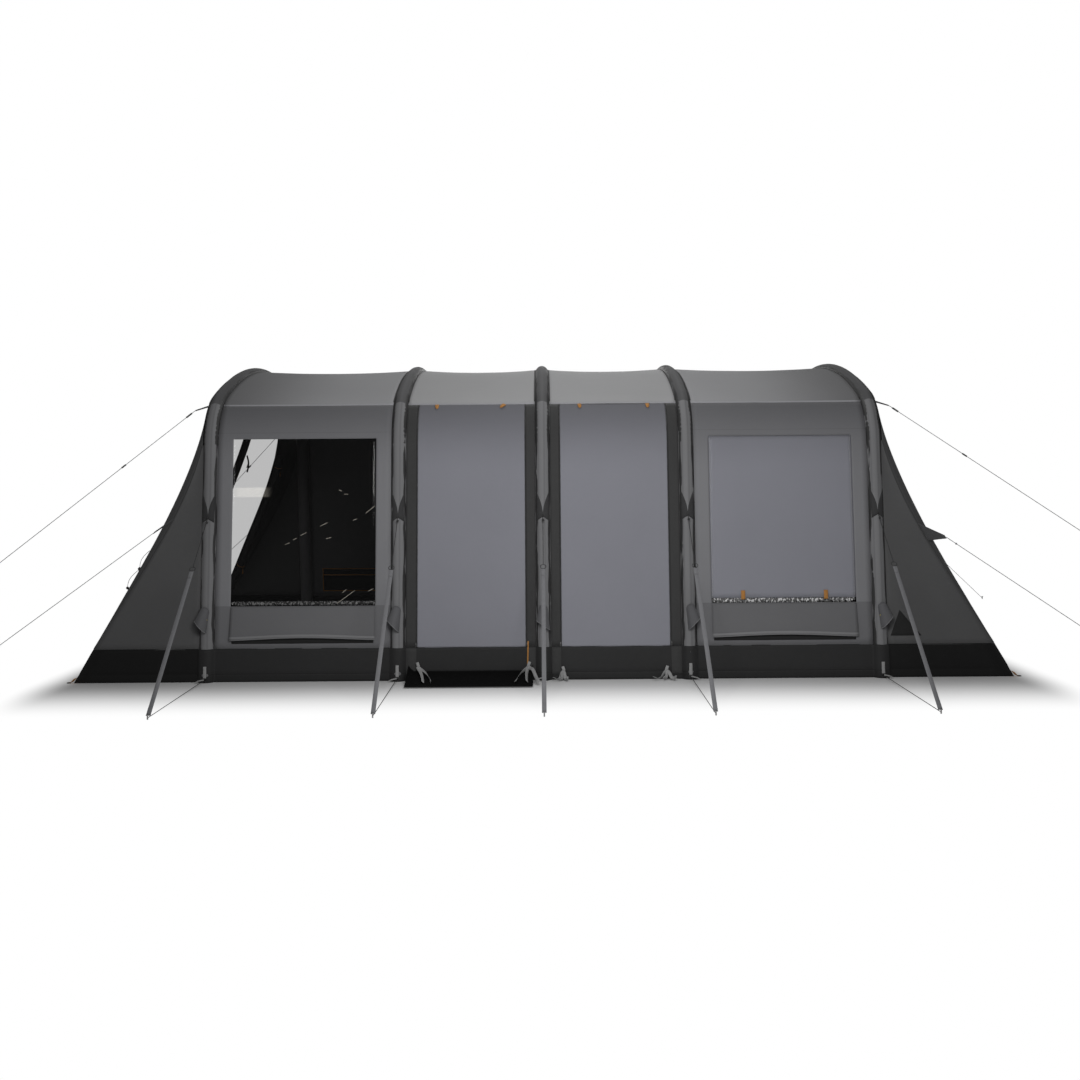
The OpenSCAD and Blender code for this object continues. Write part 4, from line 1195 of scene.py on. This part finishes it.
mud_straight, mud_half = 2.25, 2.80
mud_lines = set(even(-mud_half, mud_half, 70))
for arch in arch_places:
    mud_lines = {x for x in mud_lines if abs(x - arch) > 0.062}
    mud_lines |= {arch + d for d in even(-0.060, 0.060, 16)}
mud_lines = sorted(mud_lines)
mud_heights = [0.0003, 0.012, 0.026, 0.036, 0.042, crease_up, 0.054, 0.060,
               0.072, 0.095, 0.120, 0.145, 0.170, 0.190, mud_top - 0.0004]
for face_side, front in sides.items():
    def mud_spot(share, height, front=front):
        past = max(0.0, abs(share) - mud_straight) / (mud_half - mud_straight)
        out = min(abs(share), mud_straight) + past * (end_spot(leg_slope, height).x - mud_straight)
        x = math.copysign(out, share)
        full = min(1.0, height / 0.03, (mud_top - height) / 0.03 + 0.15)
        depth = mud_depth(x) + 0.0018 * full * ripple(x * 1.6, height * 2.0, front * 2.0, 4.0)
        fold = mud_crease(height) * (0.5 if depth < panel_depth - 0.004 else 1.0)
        y = -foot + height * math.tan(lean) + (depth + fold) / math.cos(lean)
        return Vector((x, front * y, height))

    shape = grid_shape(mud_lines, mud_heights, mud_spot)
    if front < 0:
        bmesh.ops.reverse_faces(shape, faces=shape.faces)
    mud = finish_piece(shape, f"mud_cloth_{face_side}", mud_paint, "mud_wall",
                       stands_for=(f"mud_wall_{face_side}",), thick=mud_thick)
for side, way in (("left", -1), ("right", 1)):
    def mud_end_spot(slope, height, way=way):
        spot = end_spot(slope, height)
        spot.x -= 0.0022 * ripple(spot.y * 1.5, height * 2.0, way * 4.0, 4.0) + mud_crease(height)
        return mirrored(spot, way)

    shape = grid_shape(end_slopes, mud_heights, mud_end_spot)
    if way > 0:
        bmesh.ops.reverse_faces(shape, faces=shape.faces)
    recut(shape, lambda co, uv: (co.y, uv[1]))
    mud = finish_piece(shape, f"mud_cloth_{side}", mud_paint, "mud_wall",
                       stands_for=("mud_wall_ends",) if way < 0 else (), thick=mud_thick)

floor_cloth = woven("groundsheet", grey(62), grey(72), roughness=0.6, wrinkle=0.006, wrinkle_size=3.0)
half_x, half_y = base_half - 0.0055, foot - 0.0345
shape = grid_shape(even(-half_x, half_x, 80), even(-half_y, half_y, 44),
                   lambda x, y: Vector((x, y, 0.0024 + 0.0006 * ripple(x, y, 1.0, 3.0))))
tarp = finish_piece(shape, "ground_cloth", floor_cloth, "groundsheet", stands_for=("groundsheet",), thick=0.0016)

apron_x, apron_reach = (-0.852, -0.068), 0.266
apron_back = -foot + (panel_depth - clearance) / math.cos(lean)
apron_paint = woven("apron cloth", grey(8), grey(12), roughness=0.8, wrinkle=0.006, wrinkle_size=7.0,
                    shine=0.06)


def apron_spot(x, out):
    """The apron from the mud wall, 58 mm up, out to its lip on the ground."""
    t = out / apron_reach
    height = 0.058 * (1 - t) ** 1.25 + 0.0035
    rim = min(x - apron_x[0], apron_x[1] - x)
    height += 0.034 * math.exp(-(rim / 0.018) ** 2) * (1 - t) + 0.006 * math.exp(-((t - 1.0) / 0.06) ** 2)
    height += 0.006 * math.sin(math.pi * t) * ripple(x * 1.4, out * 2.0, 5.0, 5.0) * min(1.0, rim / 0.05)
    y = apron_back + height * math.tan(lean) * (1 - t) - 0.260 * t - 0.001
    return Vector((x, y, max(height, 0.0016)))


shape = grid_shape(even(*apron_x, 48), even(0.0, apron_reach, 16), apron_spot)
bmesh.ops.reverse_faces(shape, faces=shape.faces)
apron = finish_piece(shape, "apron_cloth", apron_paint, "mud_wall", stands_for=("door_apron",),
                     thick=0.0012)

# ---- Organiser pocket --------------------------------------------------------------------------
# A pocket of black mesh on the inside of the back wall, near the left end. It is sewn on at its foot
# and sides, and bound all round in orange webbing.
pocket = (-window_x[1], -window_x[0], 0.238, 0.445)
pocket_depth, binding_width = 0.0345, 0.010
low_run, high_run = run_at_height(pocket[2], 0.036), run_at_height(pocket[3], 0.036)


def pocket_spot(x, run):
    share = (run - low_run) / (high_run - low_run)
    pouch = math.sin(math.pi * (x - pocket[0]) / (pocket[1] - pocket[0]) * 3) ** 2
    loose = 0.010 * pouch * math.sin(math.pi * share * 0.5)
    slack = wall_slack(x, run, *side_span(-1, *wall_span), 11.0, back_belly)
    return mirrored(arch_spot(x, run, pocket_depth + slack + loose), front=-1)


shape = grid_shape(even(*pocket[:2], 36), even(low_run, high_run, 8), pocket_spot)
bmesh.ops.reverse_faces(shape, faces=shape.faces)
mesh = finish_piece(shape, "organiser_mesh", mesh_paint.material, "organiser",
                    stands_for=("organiser_pocket",), thick=0.0006)
high_run - low_run
for k, share in enumerate((0.02, 0.72, 0.99)):
    rim = [pocket_spot(x, low_run + (high_run - low_run) * share) + Vector((0, -0.0012, 0))
           for x in even(*pocket[:2], 36)]
    orange_strap(f"organiser_binding_{k + 1}", rim, binding_width, 0.0022, Vector((0, 1, 0)))
for k, x in enumerate((pocket[0] + 0.004, pocket[1] - 0.004)):
    rim = [pocket_spot(x, run) + Vector((0, -0.0012, 0)) for run in even(low_run, high_run, 6)]
    orange_strap(f"organiser_side_{k + 1}", rim, binding_width, 0.0022, Vector((0, 1, 0)))

# ---- Anchor patches ----------------------------------------------------------------------------
# Black reinforcement patches sewn on the sleeves at chest height, cut to two wings with a deep notch
# from the top and a shallow one from below. The storm line's cord is knotted through the middle.
patch_paint = woven("patch cloth", grey(46, 1.02), grey(58, 1.02), wrinkle=0.001)
patch_half, patch_mid = 0.040, patch_height / math.cos(lean)
patch_low, patch_high = patch_mid - patch_length / 2, patch_mid + patch_length / 2
notch_low = patch_mid - 0.21 * patch_length
patch_r = sleeve_r + clearance + 0.0009


def knot(name, centre, size, paint, slot):
    """A small pulled knot of cord: a lumpy ball."""
    shape = bmesh.new()
    bmesh.ops.create_uvsphere(shape, u_segments=14, v_segments=9, radius=size)
    for vert in shape.verts:
        vert.co *= 0.9 + 0.35 * ripple(vert.co.x + centre.x, vert.co.y, vert.co.z + centre.z, 140)
        vert.co += centre
    return finish_piece(shape, name, paint, slot)


for face_side, front in sides.items():
    for k, x in enumerate(arch_places):
        def patch_spot(girth, share, x=x, front=front):
            turn = girth / patch_r
            top = notch_low + (patch_high - notch_low) * (abs(girth) / patch_half) ** 0.6
            low = patch_low + 0.022 * (1 - abs(girth) / patch_half)
            run = low + share * (top - low)
            spot = arch_spot(x + patch_r * math.sin(turn), run, sleeve_r - patch_r * math.cos(turn))
            return mirrored(spot, front=front)

        shape = grid_shape(even(-patch_half, patch_half, 16), even(0.0, 1.0, 6), patch_spot)
        if front < 0:
            bmesh.ops.reverse_faces(shape, faces=shape.faces)
        finish_piece(shape, f"patch_{face_side}_{k + 1}", patch_paint, "patch",
                     stands_for=("anchor_patches",) if (front, k) == (1, 0) else (), thick=0.0011)
        tied = storm_point(x, front, 0.004) + Vector((0, front * 0.001, 0.004))
        toggle = storm_point(x + 0.002, front, 0.040)
        knot(f"patch_knot_{face_side}_{k + 1}", tied, 0.0068, dark_braid, "dark_cord")
        knot(f"cord_toggle_{face_side}_{k + 1}", toggle, 0.0085, dark_braid, "dark_cord")

# ---- Storm line webbing, rings and pegs --------------------------------------------------------
# Below its cord each storm line is grey polyester webbing, folded back through a black ring at the
# top and round a steel peg at the foot.
grey_web = webbing("grey webbing", grey(98, 1.04), grey(128, 1.04))
black_plastic = cast("black plastic ring", grey(24), grey(40), (150, 300), (0.2, 0.32),
                     specular_ior_level=0.6)
peg_steel = cast("zinc plated steel", grey(150), grey(196), (120, 240), (0.25, 0.28), metallic=1.0)
dress("storm_rings", black_plastic)
dress("storm_pegs", peg_steel)
dress("guy_pegs", peg_steel)
line_face = Vector((0, line_top[1] - line_foot[1], -(line_top[0] - line_foot[0]))) / line_length
web_width, web_thick, fold_length = 0.025, 0.0015, 0.052
for face_side, front in sides.items():
    for k, x in enumerate(arch_places):
        out = Vector((0, -front * abs(line_face.y), abs(line_face.z)))
        top, low = ring_run + ring_radius + 0.0021, line_length - 0.008
        path = [storm_point(x, front, run) for run in even(top, low, 20)]
        made = strap(f"storm_web_{face_side}_{k + 1}", path, web_width, web_thick, out, grey_web, "webbing")
        if (front, k) == (1, 0):
            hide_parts("storm_webbing")
        for name, start, lift in (("fold", ring_run + ring_radius + 0.004, 0.0006),
                                  ("end", low - 0.060, 0.0)):
            fold = [storm_point(x, front, start + fold_length * t) + out * (0.0019 + lift * math.sin(math.pi * t))
                    for t in even(0, 1, 6)]
            strap(f"storm_{name}_{face_side}_{k + 1}", fold, web_width - 0.0005, web_thick, out, grey_web, "webbing")

# ---- Foot tabs and buckles ---------------------------------------------------------------------
# A pale tab of webbing on the mud wall over each leg's foot, with a black ladder buckle below it that
# the ground cord goes to.
pale_web = webbing("pale webbing", grey(128), grey(165))
foot_tab_low, foot_tab_length, foot_tab_width = 0.024, 0.078, 0.020
dress("foot_buckles", black_plastic)
for face_side, front in sides.items():
    for k, x in enumerate(arch_places):
        def leg_point(across, run, depth):
            return mirrored(arch_spot(x + across, run, depth), front=front)

        path = [leg_point(0, foot_tab_low + foot_tab_length * t, -0.0046 + 0.0012 * math.cos(math.pi * t / 2))
                for t in even(0, 1, 8)]
        made = strap(f"foot_tab_{face_side}_{k + 1}", path, foot_tab_width, 0.0016, Vector((1, 0, 0)),
                     pale_web, "webbing", twist=quarter_turn)
        if (front, k) == (1, 0):
            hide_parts("foot_tabs")

        way = 1 if k > 2 else -1
        tail = [leg_point(way * 0.052 * math.sin(t * 1.4), 0.022 - 0.014 * t,
                          -0.016 - 0.014 * math.sin(math.pi * t)) for t in even(0, 1, 10)]
        strap(f"foot_tail_{face_side}_{k + 1}", tail, 0.013, 0.0016, Vector((0, -front * 0.5, 1)),
              pale_web, "webbing")

# ---- Sill straps -------------------------------------------------------------------------------
# At the foot of each door zip the sill is held by a webbing strap with a cam buckle. The straps are
# open, and their curled ends hang down to the ground, or to the apron before the left door.
sill_straps = ((-0.792, ((0.096, 0.030), (0.050, 0.012))),
               (-0.094, ((-0.082, -0.020), (-0.010, -0.024), (0.062, -0.010))),
               (0.122, ((-0.062, 0.004), (-0.030, 0.010), (0.026, 0.0))),
               (0.772, ((-0.090, 0.0), (-0.030, 0.014), (0.052, 0.006))))
for n, (x, tails) in enumerate(sill_straps):
    on_apron = x < 0
    high = 0.104 if on_apron else 0.072
    buckle = rounded_block((0.019, 0.007, 0.030), 0.003)
    leg_turned(buckle, x, high, panel_depth - 0.016, turn=0.35 if n in (1, 3) else -0.3)
    finish_piece(buckle, f"sill_buckle_{n + 1}", pale_web, "webbing")
    for m, (out, sway) in enumerate(tails):
        base = arch_spot(x, high - 0.012, panel_depth - 0.018)
        tail = []
        for t in even(0, 1, 14):
            curl = 0.018 * math.sin(2.6 * math.pi * t) * t
            drop = (high - 0.022) * min(1.0, t * 1.25)
            spot = Vector((base.x + out * t ** 1.3 + 0.4 * sway * math.sin(3 * t),
                           base.y - 0.030 * t - (0.150 if on_apron else 0.030) * t * t - 0.006 * m,
                           base.z - drop + curl))
            rest = apron_spot(spot.x, min(apron_back - spot.y, 0.26)).z if on_apron else 0.0
            spot.z = max(spot.z, rest + 0.012 + 0.010 * (1 - t))
            tail.append(spot)
        strap(f"sill_strap_{n + 1}_{m + 1}", tail, 0.021, 0.0016, Vector((0.1, -1, 0.3)),
              pale_web, "webbing", twist=lambda t, m=m: (1.9 - m * 1.1) * t)
path = [arch_spot(-0.0985 - 0.004 * t, 0.245 - 0.150 * t, panel_depth - 0.006) for t in even(0, 1, 8)]
orange_strap("door_pull", path, 0.009, 0.0014, Vector((0, 1, 0)))

# ---- Valves and their hoods --------------------------------------------------------------------
# An inflation valve with a yellowish cap in each front leg, under a short hood of wall cloth that is
# sewn on at its top and sides and lifts at its mouth.
dress("valves", cast("valve plastic", (0.42, 0.33, 0.05), (0.55, 0.45, 0.09), (90, 200), (0.15, 0.38),
                     specular_ior_level=0.5))
hood_paint = woven("hood cloth", grey(86, 1.04), grey(98, 1.04), wrinkle=0.002, wrinkle_size=14.0)
hood_top_run, hood_length = 0.470 / math.cos(lean), 0.125
for k, (x, flare) in enumerate(zip(arch_places, (-19, -17, -6, 17, 19))):
    turn = math.radians(flare)

    def hood_spot(a, t, x=x, turn=turn, k=k):
        angle = math.pi * a
        down = hood_length * t * (1.02 - 0.20 * math.cos(angle) * math.copysign(1, turn))
        closed = 1 - min(t / 0.16, 1.0)
        r = (0.024 + 0.023 * t) * min(1.0, math.sqrt(max(0.0, 1 - closed ** 2)) + 0.02)
        r += 0.0016 * math.sin(5 * angle + k) * t * math.sin(angle)
        across, up = r * math.cos(angle) - 0.010 * t * math.copysign(1, turn), -down
        across, up = turned(across, up, -turn)
        return arch_spot(x + across, hood_top_run + up,
                         -clearance - r * math.sin(angle) * (0.92 + 0.08 * t))

    shape = grid_shape(even(0.0, 1.0, 24), even(0.0, 1.0, 18), hood_spot)
    bmesh.ops.recalc_face_normals(shape, faces=shape.faces)
    hood = finish_piece(shape, f"hood_cloth_{k + 1}", hood_paint, "hood", body=f"valve_hood_{k + 1}",
                        stands_for=(f"valve_hood_{k + 1}",), thick=0.001)
    f"beam_sleeve_{k + 1}"
    path = [hood_spot(a, 1.0) for a in even(0.0, 1.0, 24)]
    finish_piece(sweep(path, ring_outline(0.0022, 8), Vector((0, 0, 1))), f"hood_hem_{k + 1}", lip_paint,
                 "hood", body=f"valve_hood_{k + 1}")

# ---- Guy gussets, runners and pegs -------------------------------------------------------------
# Each guy line is tied to a three-cornered flap of doubled cloth on the arch or on the end seam. The
# top lines carry a black runner that slides to tighten them. A small hank of cord with two balls
# hangs at the edge of the left end cloth.
# The gusset cloth is painted darker than the sleeves: painted shade on the wings pulled out from the sleeve.
gusset_paint = woven("gusset cloth", grey(70, 1.02), grey(80, 1.02), wrinkle=0.001)
flap_slope, seat_angle, flap_hold = math.radians(44), math.radians(40), 0.009
for face_side, front in sides.items():
    for i, tip in enumerate(guy_tips):
        side_way = math.copysign(1, tip[0])
        tip_point = mirrored(Vector(tip), front=front)
        if i < 2:
            hold = arch_at(run_at_slope(flap_slope), sleeve_r)
            down = Vector((0, -front * math.cos(flap_slope), -math.sin(flap_slope)))
            outward = Vector((side_way * math.cos(seat_angle),
                              -front * math.sin(seat_angle) * math.sin(flap_slope),
                              math.sin(seat_angle) * math.cos(flap_slope)))
            seat = Vector((side_way * outer_arch, front * hold[0], hold[1])) + (sleeve_r + 0.0011) * outward
            low, high = seat + flap_hold * down, seat - flap_hold * down
        else:
            ends = []
            for height in (1.010, 1.030) if i == 2 else (0.850, 0.966):
                y = -foot + height * math.tan(lean) + (panel_depth + 0.0008) / math.cos(lean)
                ends.append(Vector((side_way * (end_spot(leg_slope, height).x + 0.001), front * y, height)))
            low, high = ends
        root = low.lerp(high, 0.5)

        def gusset_spot(u, v):
            pinch = 1 - (0.35 if i < 3 else 0.82) * v
            centre = root.lerp(tip_point, v * 0.985)
            spread = (low.lerp(high, u) - root) * pinch
            belly = (u * (1 - u) * 4 - 1) * 0.10 * v * (1 - v) * (tip_point - low).length
            return centre + spread + (tip_point - root).normalized() * belly

        shape = grid_shape(even(0, 1, 10), even(0, 1, 12), gusset_spot)
        made = finish_piece(shape, f"gusset_{face_side}_{i + 1}", gusset_paint, "sleeve", thick=0.0018)
        made.modifiers["wall"].offset = 0
        if (front, i) == (1, 0):
            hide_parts("guy_gussets")

hank_r, hank_drop = 0.0016, 0.110
for n, (height, spread, ball) in enumerate(((0.820, 0.0, 0.0135), (0.700, 0.010, 0.010))):
    loop = []
    for t in even(0, 1, 14):
        off_cloth = 0.005 + 0.020 * math.sin(math.pi * t) + spread * t
        spot = end_spot(math.radians(53 + 3.5 * t), height - hank_drop * t) + Vector((off_cloth, 0, 0))
        loop.append(mirrored(spot, -1))
    hank = finish_piece(sweep(loop, ring_outline(hank_r), Vector((0, 1, 0))), f"hank_cord_{n + 1}",
                        dark_braid, "dark_cord")
    knot(f"hank_ball_{n + 1}", loop[-1] + Vector((0, 0, -0.006)), ball, black_plastic, "black_plastic")
start, pull = guy_runs["front", 3]
knot("low_guy_knot", start + pull * 0.075, 0.0062, light_braid, "guy_cord")

runner_size, runner_at, hook_size = (0.012, 0.009, 0.034), 0.570, (0.013, 0.010, 0.046)
for n, (face_side, i) in enumerate((("front", 0), ("front", 1), ("back", 0), ("back", 1))):
    start, pull = guy_runs[face_side, i]
    turn = pull.to_track_quat("Z", "Y")
    for name, at, size, body in (("runner", runner_at, runner_size, f"guy_slider_{n + 1}"),
                                 ("hook", 0.050, hook_size, "tent")):
        shape = rounded_block(size, 0.0024)
        for vert in shape.verts:
            waist = 1 - 0.22 * math.exp(-(vert.co.z / (size[2] * 0.22)) ** 2)
            vert.co.x *= waist
            vert.co = start + pull * (at - 0.0004) + turn @ vert.co
        finish_piece(shape, f"guy_{name}_{n + 1}", black_plastic, "black_plastic", body=body,
                     stands_for=(f"guy_slider_{n + 1}",) if name == "runner" else ())

# ---- Corner rings ------------------------------------------------------------------------------
# At each corner an orange webbing tab, sewn to the mud wall, runs down to a black plastic ring on
# the ground, for a peg.
eyelet = (base_half + 0.034, foot - 0.034)
eyelet_r, eyelet_wire = 0.0112, 0.0018
for face_side, front in sides.items():
    for side, way in (("left", -1), ("right", 1)):
        shape = bmesh.new()
        bmesh.ops.create_circle(shape, segments=40, radius=eyelet_wire)
        for vert in shape.verts:
            vert.co = (eyelet_r + vert.co.x * 1.15, 0.0, vert.co.y * 1.25 + 0.0026)
        bmesh.ops.spin(shape, geom=shape.verts[:] + shape.edges[:], cent=(0, 0, 0), axis=(0, 0, 1),
                       angle=2 * math.pi, steps=48)
        close_up(shape, ends=False, gap=1e-5)
        for vert in shape.verts:
            vert.co += Vector((way * eyelet[0], -front * eyelet[1], 0))
        made = finish_piece(shape, f"corner_ring_{face_side}_{side}", black_plastic, "ring_black")
        if (front, way) == (1, -1):
            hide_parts("corner_rings")
        climb = end_spot(leg_slope, 0.034)
        path = [mirrored(Vector(spot), way, -front) for spot in (
            (climb.x + 0.003, foot - 0.012, 0.034), (base_half + 0.006, foot - 0.022, 0.014),
            (base_half + 0.016, eyelet[1] + 0.003, 0.0065), (base_half + 0.027, eyelet[1], 0.0032))]
        orange_strap(f"corner_web_{face_side}_{side}", path, 0.027, 0.0016, Vector((0.3 * way, 0, 1)))
